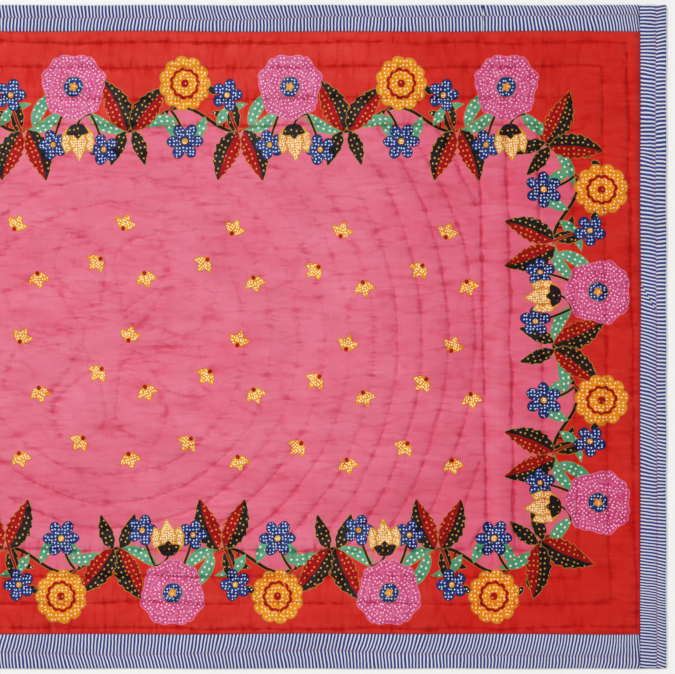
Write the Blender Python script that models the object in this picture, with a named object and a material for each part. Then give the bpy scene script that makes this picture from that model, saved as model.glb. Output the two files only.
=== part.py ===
"""A hand-quilted cotton quilt laid flat: one quilted panel inside four edging bands.

Metres, +Z up. The origin is the centre of the underside, +X runs along the length.
"""

import math

import bmesh
import bpy
import numpy as np
from mathutils import Vector
from mathutils.geometry import delaunay_2d_cdt

# Overall size of the laid quilt
LENGTH = 1.80
WIDTH = 1.10

# Widths of the edging bands: both short sides, the far long side, the near long side
SIDE_BAND = 0.043
TOP_BAND = 0.044
BOTTOM_BAND = 0.0575

# Sewn pieces lie this far apart
SEAM_GAP = 0.0003

# Heights of the panel's upper face: on a row, between rows, and at the seam with the edging
ROW_HEIGHT = 0.0038
PAD_HEIGHT = 0.0074
SEAM_HEIGHT = 0.0030

# A pad is fully risen this far from the nearest row, just under half the closest spacing
RISE = 0.020

# Quilting rows
ROW_SPACING = 0.045
MEDALLION = (-0.021, -0.004)
EYE_RADIUS = 0.045
PETALS = 8
PETAL_TIP = 0.190
PETAL_HALF_WIDTH = 0.044
# Above 1 a petal is fullest beyond its middle
PETAL_FULLNESS = 1.4
FIRST_RING = 5
LAST_RING = 16
# From this ring outwards each next ring lies closer by this much
EVEN_RINGS = 6
NARROWING = 0.0035
ROW_STEP = 0.030
# An open row stops this far short of the straight row that it runs up to
ROW_END = 0.008
# Hand stitching strays from the drawn line by this share of a ring's radius
STRAY = 0.006

# Rows that run round the panel, as insets from its edges
FRAME_ROWS = (
    # side, top, bottom
    (0.0145, 0.019, 0.010),
    (0.0585, 0.060, 0.051),
    (0.110, 0.111, 0.095),
    (0.164, 0.155, 0.139),
)
# Straight rows across each end, as insets from the panel's short edges
SIDE_ROWS = (0.215, 0.260)
# Rows across the quilt run askew, by this share of the way up
SKEW = 0.02

# Section of an edging band: share of its width from the seam outwards, height
BAND_SECTION = (
    (0.00, 0.0030),
    (0.14, 0.0046),
    (0.38, 0.0045),
    (0.49, 0.0032),
    (0.60, 0.0044),
    (0.84, 0.0042),
    (0.95, 0.0034),
    (1.00, 0.0018),
)
BAND_STEP = 0.040

# The sewn edges wander by this much, in waves of about this length
SEAM_WANDER = 0.0010
SEAM_WAVE = 0.34
RIM_WANDER = 0.0008
RIM_WAVE = 0.27
# Share of a side, next to each corner, over which its edge comes back out
RIM_TAPER = 1 / 12

# Cloth colours, linear
PRINT_PINK = (0.76, 0.16, 0.25, 1.0)
STRIPE_BLUE = (0.32, 0.36, 0.58, 1.0)
COTTON_ROUGHNESS = 0.85

PANEL_SIDE = LENGTH / 2 - SIDE_BAND
PANEL_TOP = WIDTH / 2 - TOP_BAND
PANEL_BOTTOM = -(WIDTH / 2 - BOTTOM_BAND)


def clear_scene():
    """Removes what the scene holds at the start."""
    for obj in list(bpy.data.objects):
        bpy.data.objects.remove(obj, do_unlink=True)


def cotton(name, colour):
    """A plain cotton material of one colour."""
    material = bpy.data.materials.new(name)
    material.use_nodes = True
    shader = material.node_tree.nodes["Principled BSDF"]
    shader.inputs["Base Color"].default_value = colour
    shader.inputs["Roughness"].default_value = COTTON_ROUGHNESS
    shader.inputs["Metallic"].default_value = 0.0
    return material


def wander(along, size, wave, phase):
    """How far a sewn edge strays from straight at a place along it."""
    turn = math.tau * along / wave
    return size * (0.6 * math.sin(turn + phase) + 0.4 * math.sin(0.43 * turn + 2 * phase))


def long_seam(x, edge):
    """The Y of the seam between the panel and a long band, edge being its mean Y."""
    return edge + wander(x, SEAM_WANDER, SEAM_WAVE, 1.0 if edge > 0 else 2.4)


def side_seam(y, side):
    """The X of the seam between the panel and a side band, side being +1 or -1."""
    return side * (PANEL_SIDE + wander(y, SEAM_WANDER, SEAM_WAVE, 0.3))


def steps(start, end, step):
    """Evenly spaced numbers from start to end, about a step apart."""
    count = max(2, round(abs(end - start) / step) + 1)
    return [start + (end - start) * i / (count - 1) for i in range(count)]


def field_contains(point):
    """Whether a point lies inside the field that the rings fill, clear of its frame row."""
    side, top, bottom = SIDE_ROWS[-1], FRAME_ROWS[-1][1], FRAME_ROWS[-1][2]
    return (
        abs(point[0] + SKEW * point[1]) < PANEL_SIDE - side - ROW_END
        and PANEL_BOTTOM + bottom + ROW_END < point[1] < PANEL_TOP - top - ROW_END
    )


def ring_radius(number):
    """The radius of a ring, the rings counted outwards a row spacing apart at first."""
    return number * ROW_SPACING - max(0, number - EVEN_RINGS) * NARROWING


def ring_point(radius, angle):
    """A point of a ring stitched by hand round the medallion."""
    strayed = radius * (1 + STRAY * math.sin(3 * angle + radius / ROW_SPACING))
    return (
        MEDALLION[0] + strayed * math.cos(angle),
        MEDALLION[1] + strayed * math.sin(angle),
    )


def field_edge(radius, inner, outer):
    """The angle at which a ring leaves the field, between one inside it and one outside."""
    for _ in range(10):
        middle = (inner + outer) / 2
        if field_contains(ring_point(radius, middle)):
            inner = middle
        else:
            outer = middle
    return inner


def ring_lines(radius):
    """The stretches of a ring that lie in the field, as lists of points."""
    count = max(12, round(math.tau * radius / ROW_STEP))
    step = math.tau / count
    inside = [field_contains(ring_point(radius, step * i)) for i in range(count)]
    if all(inside):
        ring = [ring_point(radius, step * i) for i in range(count)]
        return [ring + ring[:1]]
    lines, line = [], []
    start = inside.index(False)
    for i in range(start, start + count):
        here, ahead = inside[i % count], inside[(i + 1) % count]
        if here:
            line.append(ring_point(radius, step * i))
        if ahead and not here:
            line = [ring_point(radius, field_edge(radius, step * (i + 1), step * i))]
        if here and not ahead:
            line.append(ring_point(radius, field_edge(radius, step * i, step * (i + 1))))
            lines.append(line)
    return lines


def spoke(angle, start, end, half_width=0.0):
    """Points from the medallion's middle outwards, bowed to one side by half_width."""
    along = Vector((math.cos(angle), math.sin(angle)))
    across = Vector((-along.y, along.x))
    line = []
    for share in steps(0.0, 1.0, 1 / 6):
        bow = half_width * math.sin(math.pi * share ** PETAL_FULLNESS)
        point = Vector(MEDALLION) + along * (start + (end - start) * share) + across * bow
        line.append((point.x, point.y))
    return line


def medallion():
    """The rows of the eye and petals in the middle of the rings, and their crests."""
    rows = ring_lines(EYE_RADIUS)
    crests = ring_lines(EYE_RADIUS / 2)
    crests += ring_lines((PETAL_TIP + ring_radius(FIRST_RING)) / 2)
    for index in range(PETALS):
        angle = math.tau * (index + 0.5) / PETALS
        for side in (-1, 1):
            rows.append(spoke(angle, EYE_RADIUS, PETAL_TIP, side * PETAL_HALF_WIDTH))
        crests.append(spoke(angle, EYE_RADIUS, PETAL_TIP)[1:-1])
        between = angle + math.pi / PETALS
        crests.append(spoke(between, EYE_RADIUS, PETAL_TIP)[2:])
    return rows, crests


def frame_line(side, top, bottom):
    """A closed line round the panel at these insets."""
    right, far, near = PANEL_SIDE - side, PANEL_TOP - top, PANEL_BOTTOM + bottom
    corners = [
        (x - SKEW * y, y)
        for x, y in ((-right, near), (right, near), (right, far), (-right, far))
    ]
    line = []
    for (x0, y0), (x1, y1) in zip(corners, corners[1:] + corners[:1]):
        length = math.hypot(x1 - x0, y1 - y0)
        line += [
            (x0 + (x1 - x0) * t, y0 + (y1 - y0) * t)
            for t in steps(0.0, 1.0, ROW_STEP / length)[:-1]
        ]
    return line + line[:1]


def side_line(x):
    """A straight row across the panel between the innermost frame rows."""
    far = PANEL_TOP - FRAME_ROWS[-1][1] - ROW_END
    near = PANEL_BOTTOM + FRAME_ROWS[-1][2] + ROW_END
    return [(x - SKEW * y, y) for y in steps(near, far, ROW_STEP)]


def quilting():
    """The stitched rows of the panel, and the crests of the pads between them."""
    rows, crests = medallion()
    for ring in range(FIRST_RING, LAST_RING + 1):
        rows += ring_lines(ring_radius(ring))
        crests += ring_lines((ring_radius(ring) + ring_radius(ring + 1)) / 2)
    for insets in FRAME_ROWS:
        rows.append(frame_line(*insets))
    for outer, inner in zip(FRAME_ROWS, FRAME_ROWS[1:]):
        crests.append(frame_line(*((a + b) / 2 for a, b in zip(outer, inner))))
    ends = (FRAME_ROWS[-1][0],) + SIDE_ROWS
    for side in (-1, 1):
        rows += [side_line(side * (PANEL_SIDE - inset)) for inset in SIDE_ROWS]
        crests += [
            side_line(side * (PANEL_SIDE - (a + b) / 2)) for a, b in zip(ends, ends[1:])
        ]
    return rows, crests


def panel_rim():
    """The panel's outline, a list of points anticlockwise, a seam gap inside the seams."""
    xs = steps(-PANEL_SIDE, PANEL_SIDE, BAND_STEP)
    ys = steps(PANEL_BOTTOM, PANEL_TOP, BAND_STEP)
    right = [(side_seam(y, 1) - SEAM_GAP / 2, y) for y in ys]
    left = [(side_seam(y, -1) + SEAM_GAP / 2, y) for y in ys]
    near = [(x, long_seam(x, PANEL_BOTTOM) + SEAM_GAP / 2) for x in xs]
    far = [(x, long_seam(x, PANEL_TOP) - SEAM_GAP / 2) for x in xs]
    corners = {
        "near_left": (left[0][0], near[0][1]),
        "near_right": (right[0][0], near[-1][1]),
        "far_right": (right[-1][0], far[-1][1]),
        "far_left": (left[-1][0], far[0][1]),
    }
    return (
        [corners["near_left"]] + near[1:-1]
        + [corners["near_right"]] + right[1:-1]
        + [corners["far_right"]] + far[-2:0:-1]
        + [corners["far_left"]] + left[-2:0:-1]
    )


def distance_to(lines, points):
    """The distance of each point from the nearest of some lines."""
    starts = np.array([a for line in lines for a in line[:-1]])
    ends = np.array([b for line in lines for b in line[1:]])
    runs = ends - starts
    offsets = points[:, None, :] - starts[None, :, :]
    shares = (offsets * runs).sum(2) / (runs ** 2).sum(1)
    nearest = offsets - np.clip(shares, 0, 1)[:, :, None] * runs
    return np.sqrt((nearest ** 2).sum(2).min(1))


def panel_heights(points, rows, rim):
    """The height of the quilted face at each point: low on the rows, full between them."""
    from_row = np.clip(distance_to(rows, points) / RISE, 0, 1)
    risen = ROW_HEIGHT + (PAD_HEIGHT - ROW_HEIGHT) * np.sin(from_row * math.pi / 2)
    from_rim = np.clip(distance_to([rim + rim[:1]], points) / FRAME_ROWS[0][2], 0, 1)
    return SEAM_HEIGHT + (risen - SEAM_HEIGHT) * from_rim


def add_line(line, points, edges):
    """Adds a line's points and edges to the lists; a line whose ends meet is closed."""
    closed = line[0] == line[-1]
    start = len(points)
    own = line[:-1] if closed else line
    points += own
    edges += [(start + i, start + i + 1) for i in range(len(own) - 1)]
    if closed:
        edges.append((start + len(own) - 1, start))


def close_underneath(bm):
    """Adds walls from the rim of the upper face down to the floor, and a flat underside."""
    rim = [edge for edge in bm.edges if edge.is_boundary]
    made = bmesh.ops.extrude_edge_only(bm, edges=rim)["geom"]
    for item in made:
        if isinstance(item, bmesh.types.BMVert):
            item.co.z = 0.0
    foot = [edge for edge in bm.edges if edge.is_boundary]
    bmesh.ops.edgeloop_fill(bm, edges=foot)
    bmesh.ops.recalc_face_normals(bm, faces=bm.faces)


def add_solid(name, bm, material, collection):
    """Makes an object of a finished bmesh."""
    mesh = bpy.data.meshes.new(name)
    bm.to_mesh(mesh)
    bm.free()
    mesh.materials.append(material)
    mesh.shade_smooth()
    mesh.set_sharp_from_angle(angle=math.radians(50))
    obj = bpy.data.objects.new(name, mesh)
    collection.objects.link(obj)
    return obj


def build_panel(material, collection):
    """The quilted panel: a face raised in pads between the stitched rows."""
    rows, crests = quilting()
    rim = panel_rim()
    points, edges = list(rim), []
    for line in rows + crests:
        add_line(line, points, edges)
    outline = [list(range(len(rim)))]
    flat, _, faces, _, _, _ = delaunay_2d_cdt(
        [Vector(point) for point in points], edges, outline, 1, SEAM_GAP
    )
    places = np.array([tuple(point) for point in flat])
    heights = panel_heights(places, rows, rim)
    bm = bmesh.new()
    verts = [bm.verts.new((x, y, z)) for (x, y), z in zip(places, heights)]
    for face in faces:
        bm.faces.new([verts[i] for i in face])
    close_underneath(bm)
    return add_solid("quilted_panel", bm, material, collection)


def build_band(name, length, place, material, collection):
    """An edging band from a grid, bent to its section.

    place gives the inner and outer point at a share of its length, as two (x, y) pairs.
    """
    cells = round(length / BAND_STEP)
    across = len(BAND_SECTION) - 1
    bm = bmesh.new()
    bmesh.ops.create_grid(bm, x_segments=cells, y_segments=across, size=1.0)
    for vert in bm.verts:
        along = (vert.co.x + 1) / 2
        share, height = BAND_SECTION[round((vert.co.y + 1) / 2 * across)]
        inner, outer = place(along)
        vert.co.x = inner[0] + (outer[0] - inner[0]) * share
        vert.co.y = inner[1] + (outer[1] - inner[1]) * share
        vert.co.z = height
    close_underneath(bm)
    return add_solid(name, bm, material, collection)


def rim_inset(along, phase):
    """How far the outer edge is drawn in at a share along a side; nothing at its ends."""
    ends = min(1.0, along / RIM_TAPER, (1 - along) / RIM_TAPER)
    wave = math.sin(math.tau * along * LENGTH / RIM_WAVE + phase)
    return ends * RIM_WANDER * (0.5 + 0.5 * wave)


def long_band(side):
    """The place function of a long band; side is +1 for the far one, -1 for the near one."""
    edge = PANEL_TOP if side > 0 else PANEL_BOTTOM

    def place(along):
        end = PANEL_SIDE - SEAM_GAP / 2
        seam_y = long_seam((2 * along - 1) * end, edge) + side * SEAM_GAP / 2
        rim_y = side * (WIDTH / 2 - rim_inset(along, side))
        inner_x = (2 * along - 1) * (abs(side_seam(seam_y, 1)) - SEAM_GAP / 2)
        outer_x = (2 * along - 1) * (abs(side_seam(rim_y, 1)) - SEAM_GAP / 2)
        return (inner_x, seam_y), (outer_x, rim_y)

    return place


def side_band(side):
    """The place function of a side band; side is +1 on the right, -1 on the left."""

    def place(along):
        y = (along - 0.5) * WIDTH
        inner = side_seam(y, side) + side * SEAM_GAP / 2
        outer = side * (LENGTH / 2 - rim_inset(along, 2 + side))
        return (inner, y), (outer, y)

    return place


def main():
    """Builds the quilt."""
    clear_scene()
    quilt = bpy.data.collections.new("quilt")
    bpy.context.scene.collection.children.link(quilt)
    printed = cotton("printed_cotton", PRINT_PINK)
    striped = cotton("striped_cotton", STRIPE_BLUE)
    build_panel(printed, quilt)
    build_band("edging_top", LENGTH, long_band(1), striped, quilt)
    build_band("edging_bottom", LENGTH, long_band(-1), striped, quilt)
    build_band("edging_right", WIDTH, side_band(1), striped, quilt)
    build_band("edging_left", WIDTH, side_band(-1), striped, quilt)


main()
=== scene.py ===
"""The looks of a hand-quilted, block-printed cotton quilt that lies flat.

Metres, +Z up. The origin is the centre of the underside, +X runs along the length and
+Y across the width, towards the narrower of the two long edging bands.
"""

import logging
import math
from collections.abc import Callable, Sequence
from dataclasses import dataclass, field, replace
from enum import Enum

import bpy
import numpy as np
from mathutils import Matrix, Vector
from mathutils.geometry import delaunay_2d_cdt
from mathutils.kdtree import KDTree


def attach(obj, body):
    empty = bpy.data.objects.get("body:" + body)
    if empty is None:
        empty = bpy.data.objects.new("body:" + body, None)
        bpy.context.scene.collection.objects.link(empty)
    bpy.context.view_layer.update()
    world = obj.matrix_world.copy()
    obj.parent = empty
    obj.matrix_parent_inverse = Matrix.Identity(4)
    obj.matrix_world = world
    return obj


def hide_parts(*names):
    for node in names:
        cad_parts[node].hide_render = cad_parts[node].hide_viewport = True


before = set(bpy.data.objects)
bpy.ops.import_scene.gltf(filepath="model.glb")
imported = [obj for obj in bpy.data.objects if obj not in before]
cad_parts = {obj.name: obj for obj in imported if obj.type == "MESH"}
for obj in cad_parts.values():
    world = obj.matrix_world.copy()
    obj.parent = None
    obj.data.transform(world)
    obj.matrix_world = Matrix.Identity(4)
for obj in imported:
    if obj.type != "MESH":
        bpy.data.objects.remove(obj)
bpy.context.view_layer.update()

log = logging.getLogger("quilt")
MM = 0.001

# The shared clearance between sewn pieces, as the solids keep it
SEAM_GAP = 0.3 * MM

Array, Pair = np.ndarray, tuple[float, float]
Tree, Socket, Node = bpy.types.NodeTree, bpy.types.NodeSocket, bpy.types.Node
Object, Mesh, Material = bpy.types.Object, bpy.types.Mesh, bpy.types.Material

# The kinds of node that most finishes are made of
MATH, VECTOR, RANGE = "ShaderNodeMath", "ShaderNodeVectorMath", "ShaderNodeMapRange"
NOISE, VORONOI, BUMP = "ShaderNodeTexNoise", "ShaderNodeTexVoronoi", "ShaderNodeBump"
BANDS = "ShaderNodeTexWave"

# What all the cotton shares: no gloss, and a soft nap edge on
COTTON = {
    "Roughness": 0.9, "IOR": 1.45, "Specular IOR Level": 0.12,
    "Sheen Weight": 0.04, "Sheen Roughness": 0.6,
}

# A wave texture's scale times the distance between its bands, which is a tenth of pi
WAVE = math.pi / 10


# Colour and shader helpers


def linear(hex_colour: str) -> tuple[float, float, float, float]:
    """Turns an sRGB hex value into linear colour.

    Args:
        hex_colour: Six hex digits.

    Returns:
        Red, green, blue and an alpha of 1.
    """
    values = [int(hex_colour[i : i + 2], 16) / 255 for i in (0, 2, 4)]
    red, green, blue = (
        v / 12.92 if v <= 0.04045 else ((v + 0.055) / 1.055) ** 2.4 for v in values
    )
    return red, green, blue, 1.0


def wire(
    tree: Tree, kind: str, inputs: Sequence | dict = (), out: int | str = 0, **settings: object
) -> Socket | None:
    """Adds a node with its settings and links.

    Args:
        tree: The node tree.
        kind: The node's Blender type.
        inputs: What its inputs take, each a value or an output to link: the first inputs
            in order, or any of them by name or number.
        out: Which of its outputs is wanted.
        settings: The node's own properties.

    Returns:
        That output, where the node has any.
    """
    made = tree.nodes.new(kind)
    for name, value in settings.items():
        setattr(made, name, value)
    for key, value in (inputs if isinstance(inputs, dict) else dict(enumerate(inputs))).items():
        if isinstance(value, Socket):
            tree.links.new(value, made.inputs[key])
        else:
            made.inputs[key].default_value = value
    return made.outputs[out] if made.outputs else None


# Plain geometry on flat paths, each an array of points in rows


def arc_lengths(path: Array) -> Array:
    """Returns the distance along a path at each of its points."""
    return np.concatenate([[0.0], np.cumsum(np.hypot(*np.diff(path, axis=0).T))])


def resampled(path: Array, step: float) -> Array:
    """Spaces a path's points evenly.

    Args:
        path: The path's points.
        step: The wanted distance between points.

    Returns:
        The new points, with the same two ends.
    """
    runs = arc_lengths(path)
    count = max(2, round(runs[-1] / step) + 1)
    wanted = np.linspace(0, runs[-1], count)
    return np.column_stack([np.interp(wanted, runs, path[:, i]) for i in (0, 1)])


def sideways(path: Array) -> Array:
    """Finds the way to the left of a path.

    Args:
        path: The path's points.

    Returns:
        A unit vector at each of them.
    """
    along = np.gradient(path, axis=0)
    along /= np.hypot(*along.T)[:, None] + 1e-12
    return np.column_stack([-along[:, 1], along[:, 0]])


def ribbon(spine: Array, left: Array, right: Array) -> Array:
    """Outlines a shape from its spine.

    Args:
        spine: The points along its middle.
        left: Its half width on the left at each point.
        right: Its half width on the right at each point.

    Returns:
        The outline, anticlockwise.
    """
    across = sideways(spine)
    ahead = spine - across * right[:, None]
    back = (spine + across * left[:, None])[::-1]
    if left[-1] + right[-1] < 1e-6:
        back = back[1:]
    if left[0] + right[0] < 1e-6:
        back = back[:-1]
    return np.concatenate([ahead, back])


def grown(outline: Array, margin: float) -> Array:
    """Moves an anticlockwise outline outwards.

    Args:
        outline: The closed outline's points.
        margin: How far each point moves.

    Returns:
        The larger outline.
    """
    ahead = np.roll(outline, -1, axis=0) - np.roll(outline, 1, axis=0)
    ahead /= np.hypot(*ahead.T)[:, None] + 1e-12
    return outline + np.column_stack([ahead[:, 1], -ahead[:, 0]]) * margin


def bezier(start: Array, pull: Array, end: Array, count: int) -> Array:
    """Returns count points of a quadratic curve from start to end, bent towards pull."""
    t = np.linspace(0, 1, count)[:, None]
    return (1 - t) ** 2 * start + 2 * t * (1 - t) * pull + t**2 * end


def spine_places(points: Array, spine: Array) -> Array:
    """Measures points along and across a spine.

    Args:
        points: The points.
        spine: The path that they are measured from.

    Returns:
        For each point, its distance along the spine and to the left of it.
    """
    starts, runs = spine[:-1], np.diff(spine, axis=0)
    lengths = np.hypot(*runs.T)
    ways = runs / lengths[:, None]
    offsets = points[:, None, :] - starts[None]
    along = (offsets * ways).sum(2)
    held = np.clip(along, 0, lengths)
    apart = np.hypot(*(offsets - held[:, :, None] * ways).transpose(2, 0, 1))
    best = apart.argmin(1)
    pick = np.arange(len(points))
    left = ways[best, 0] * offsets[pick, best, 1] - ways[best, 1] * offsets[pick, best, 0]
    return np.column_stack([arc_lengths(spine)[best] + along[pick, best], left])


def within(points: Array, outline: Array) -> Array:
    """Tells which points lie inside a closed outline.

    Args:
        points: The points.
        outline: The outline's points.

    Returns:
        True for each point inside.
    """
    (x0, y0), (x1, y1) = outline.T, np.roll(outline, -1, axis=0).T
    rise = np.where(y1 == y0, 1.0, y1 - y0)
    found = np.zeros(len(points), bool)
    for start in range(0, len(points), 4096):
        x, y = points[start : start + 4096, :1], points[start : start + 4096, 1:]
        crossed = ((y0 > y) != (y1 > y)) & (x < x0 + (y - y0) * (x1 - x0) / rise)
        found[start : start + 4096] = crossed.sum(1) % 2 == 1
    return found


def lattice_noise(places: Array, seed: int) -> Array:
    """Smooth noise with one bump for each unit of place.

    Args:
        places: Points in rows, in units of the noise.
        seed: Which noise.

    Returns:
        A value from -1 to 1 at each point.
    """
    table = np.random.default_rng(seed).uniform(-1, 1, (64, 64))
    cell = np.floor(places).astype(int)
    share = places - cell
    share = share * share * (3 - 2 * share)
    (i, j), (u, v) = (cell % 64).T, share.T
    near = table[i, j] * (1 - u) + table[(i + 1) % 64, j] * u
    far = table[i, (j + 1) % 64] * (1 - u) + table[(i + 1) % 64, (j + 1) % 64] * u
    return near * (1 - v) + far * v


def kd_tree(points: Array) -> KDTree:
    """Makes a tree that finds the nearest of some flat points by number.

    Args:
        points: The points.

    Returns:
        The tree.
    """
    tree = KDTree(len(points))
    for i, (x, y) in enumerate(points):
        tree.insert((x, y, 0), i)
    tree.balance()
    return tree


def finder(points: Array) -> Callable[[Array], float]:
    """Returns a function that measures from a place to the nearest of these points."""
    tree = kd_tree(points)
    return lambda place: tree.find((*place, 0))[2]


# Where the quilt's pieces meet


@dataclass(frozen=True)
class Seams:
    """The sewn lines between the panel and its edging, as the solids have them."""

    length: float = 1.80
    width: float = 1.10
    side_band: float = 0.043
    top_band: float = 0.044
    bottom_band: float = 0.0575
    wander: float = 1.0 * MM
    wave: float = 0.34
    rim_wander: float = 0.8 * MM
    rim_wave: float = 0.27
    rim_taper: float = 1 / 12

    @property
    def side(self) -> float:
        """The mean X of the right seam."""
        return self.length / 2 - self.side_band

    @property
    def top(self) -> float:
        """The mean Y of the far long seam."""
        return self.width / 2 - self.top_band

    @property
    def bottom(self) -> float:
        """The mean Y of the near long seam."""
        return self.bottom_band - self.width / 2

    def stray(self, along: Array, phase: float) -> Array:
        """Works out how far a sewn line strays from straight.

        Args:
            along: Places along it.
            phase: Which line.

        Returns:
            How far it strays at each place.
        """
        turn = math.tau * along / self.wave
        slow = np.sin(0.43 * turn + 2 * phase)
        return self.wander * (0.6 * np.sin(turn + phase) + 0.4 * slow)

    def long_seam(self, x: Array, far: bool) -> Array:
        """Returns the Y of a long seam at each x."""
        edge, phase = (self.top, 1.0) if far else (self.bottom, 2.4)
        return edge + self.stray(x, phase)

    def side_seam(self, y: Array) -> Array:
        """Returns how far out a side seam lies at each y."""
        return self.side + self.stray(y, 0.3)

    def rim_inset(self, along: Array, phase: float) -> Array:
        """Works out how far the outer edge is drawn in.

        Args:
            along: Shares of a side.
            phase: Which side.

        Returns:
            How far in it lies at each share.
        """
        ends = np.clip(np.minimum(along, 1 - along) / self.rim_taper, 0, 1)
        wave = np.sin(math.tau * along * self.length / self.rim_wave + phase)
        return ends * self.rim_wander * (0.5 + 0.5 * wave)

    def panel_rim(self, step: float) -> Array:
        """Outlines the panel, half a gap inside its seams.

        Args:
            step: The distance between points.

        Returns:
            The outline, anticlockwise from the near left corner.
        """
        gap = SEAM_GAP / 2
        xs = np.linspace(-self.side, self.side, round(2 * self.side / step) + 1)
        ys = np.linspace(self.bottom, self.top, round((self.top - self.bottom) / step) + 1)
        out = self.side_seam(ys) - gap
        near = np.column_stack([xs, self.long_seam(xs, False) + gap])
        far = np.column_stack([xs, self.long_seam(xs, True) - gap])
        right, left = np.column_stack([out, ys]), np.column_stack([-out, ys])
        for line, first, last in ((near, left[0], right[0]), (far, left[-1], right[-1])):
            line[0, 0], line[-1, 0] = first[0], last[0]
        return np.concatenate([near, right[1:-1], far[::-1], left[-2:0:-1]])


# The stitched rows


@dataclass
class Row:
    """One line of running stitches.

    Attributes:
        path: Its points.
        pull: How deep it pulls the cloth, from 0 to 1.
        on_border: Whether it is sewn on the red border.
    """

    path: Array
    pull: float
    on_border: bool = False


@dataclass
class Quilting:
    """The stitched rows of the panel and the relief that they leave."""

    seams: Seams
    spacing: float = 0.045
    middle: Pair = (-0.021, -0.004)
    eye: float = 0.045
    petals: int = 8
    petal_tip: float = 0.190
    petal_half: float = 0.044
    fullness: float = 1.4
    rings: range = range(5, 17)
    even_rings: int = 6
    narrowing: float = 3.5 * MM
    skew: float = 0.02
    frame_rows: tuple[tuple[float, float, float], ...] = (
        (0.0145, 0.019, 0.010),
        (0.0585, 0.060, 0.051),
        (0.110, 0.111, 0.095),
        (0.164, 0.155, 0.139),
    )
    frame_pulls: tuple[float, ...] = (0.95, 0.85, 0.75, 0.85)
    side_rows: tuple[float, ...] = (0.215, 0.260)
    row_end: float = 8 * MM
    stray: float = 0.006
    step: float = 9 * MM
    row_height: float = 3.8 * MM
    pad_height: float = 7.4 * MM
    seam_height: float = 3.0 * MM
    seam_ease: float = 9 * MM
    valley: float = 3.2 * MM
    rows: list[Row] = field(default_factory=list)

    def __post_init__(self) -> None:
        """Lays out the rows and the table that finds the nearest one."""
        self.rows = self.medallion() + self.ring_rows() + self.frame() + self.ends()
        self.starts = np.concatenate([row.path[:-1] for row in self.rows])
        self.stops = np.concatenate([row.path[1:] for row in self.rows])
        self.runs = np.concatenate([arc_lengths(row.path)[:-1] for row in self.rows])
        middles = (self.starts + self.stops) / 2
        pulls = np.concatenate([np.full(len(row.path) - 1, row.pull) for row in self.rows])
        self.pulls = np.minimum(pulls * self.tautness(middles), 1.0)
        self.tree = kd_tree(middles)

    def tautness(self, places: Array) -> Array:
        """Works out how hard the thread pulls, as a share of each row's own pull.

        Args:
            places: Points on the rows.

        Returns:
            Less than 1 right of the middle, where the rings are slack, and more below it.
        """
        taut = np.ones(len(places))
        right = ((0, 0.04, 0.16), (0, 0.46, 0.40), (1, -0.20, -0.12), (1, 0.345, 0.33))
        below = ((1, -0.17, -0.22), (0, 0.38, 0.20))
        for most, ramps in ((-0.60, right), (0.60, below)):
            share = 1.0
            for axis, none, full in ramps:
                share *= np.clip((places[:, axis] - none) / (full - none), 0, 1)
            taut += most * share
        return taut

    def ring_radius(self, number: int) -> float:
        """Returns a ring's radius; from even_rings outwards they lie closer together."""
        return number * self.spacing - max(0, number - self.even_rings) * self.narrowing

    def handmade(self, path: Array, pull: float) -> Row:
        """Makes a row that strays a little, as hand stitching does.

        Args:
            path: Where it runs.
            pull: How deep it pulls the cloth, from 0 to 1.

        Returns:
            The row.
        """
        even = resampled(path, self.step)
        waves = ((0.19, 2.6 * MM), (0.07, 2.4 * MM), (0.024, 1.1 * MM))
        drift = sum(lattice_noise(even / size, 3 + i) * far for i, (size, far) in enumerate(waves))
        return Row(even + sideways(even) * drift[:, None], pull)

    def ring(self, radius: float) -> Array:
        """Draws a closed ring round the medallion.

        Args:
            radius: Its radius.

        Returns:
            Its points.
        """
        turn = np.linspace(0, math.tau, max(24, round(math.tau * radius / self.step)))
        strayed = radius * (1 + self.stray * np.sin(3 * turn + radius / self.spacing))
        return self.middle + strayed[:, None] * np.column_stack([np.cos(turn), np.sin(turn)])

    def medallion(self) -> list[Row]:
        """Returns the rows of the eye and the petals inside the rings."""
        rows = [self.handmade(self.ring(self.eye), 0.35)]
        share = np.linspace(0, 1, 18)
        bow = self.petal_half * np.sin(math.pi * share**self.fullness)
        reach = self.eye + (self.petal_tip - self.eye) * share
        for index in range(self.petals):
            angle = math.tau * (index + 0.5) / self.petals
            along = np.array([math.cos(angle), math.sin(angle)])
            across = np.array([-along[1], along[0]])
            for side in (-1, 1):
                path = self.middle + reach[:, None] * along + side * bow[:, None] * across
                rows.append(self.handmade(path, 0.38))
        return rows

    def ring_rows(self) -> list[Row]:
        """Returns the rings, cut off where the straight rows begin."""
        inset, far, near = self.side_rows[-1], self.frame_rows[-1][1], self.frame_rows[-1][2]
        reach = self.seams.side - inset - self.row_end
        top = self.seams.top - far - self.row_end
        bottom = self.seams.bottom + near + self.row_end
        rows = []
        for number in self.rings:
            ring = resampled(self.ring(self.ring_radius(number)), 2 * MM)
            x, y = ring.T
            inside = (abs(x + self.skew * y) < reach) & (y < top) & (y > bottom)
            pull = 0.38 + 0.045 * (number - self.rings[0])
            if inside.all():
                rows.append(self.handmade(ring, pull))
                continue
            ring, inside = (np.roll(a, -int(inside.argmin()), axis=0) for a in (ring, inside))
            cuts = np.flatnonzero(np.diff(inside.astype(int))) + 1
            for piece in np.split(ring, cuts)[1::2]:
                if len(piece) * 2 * MM > self.spacing / 2:
                    rows.append(self.handmade(piece, pull))
        return rows

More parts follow.
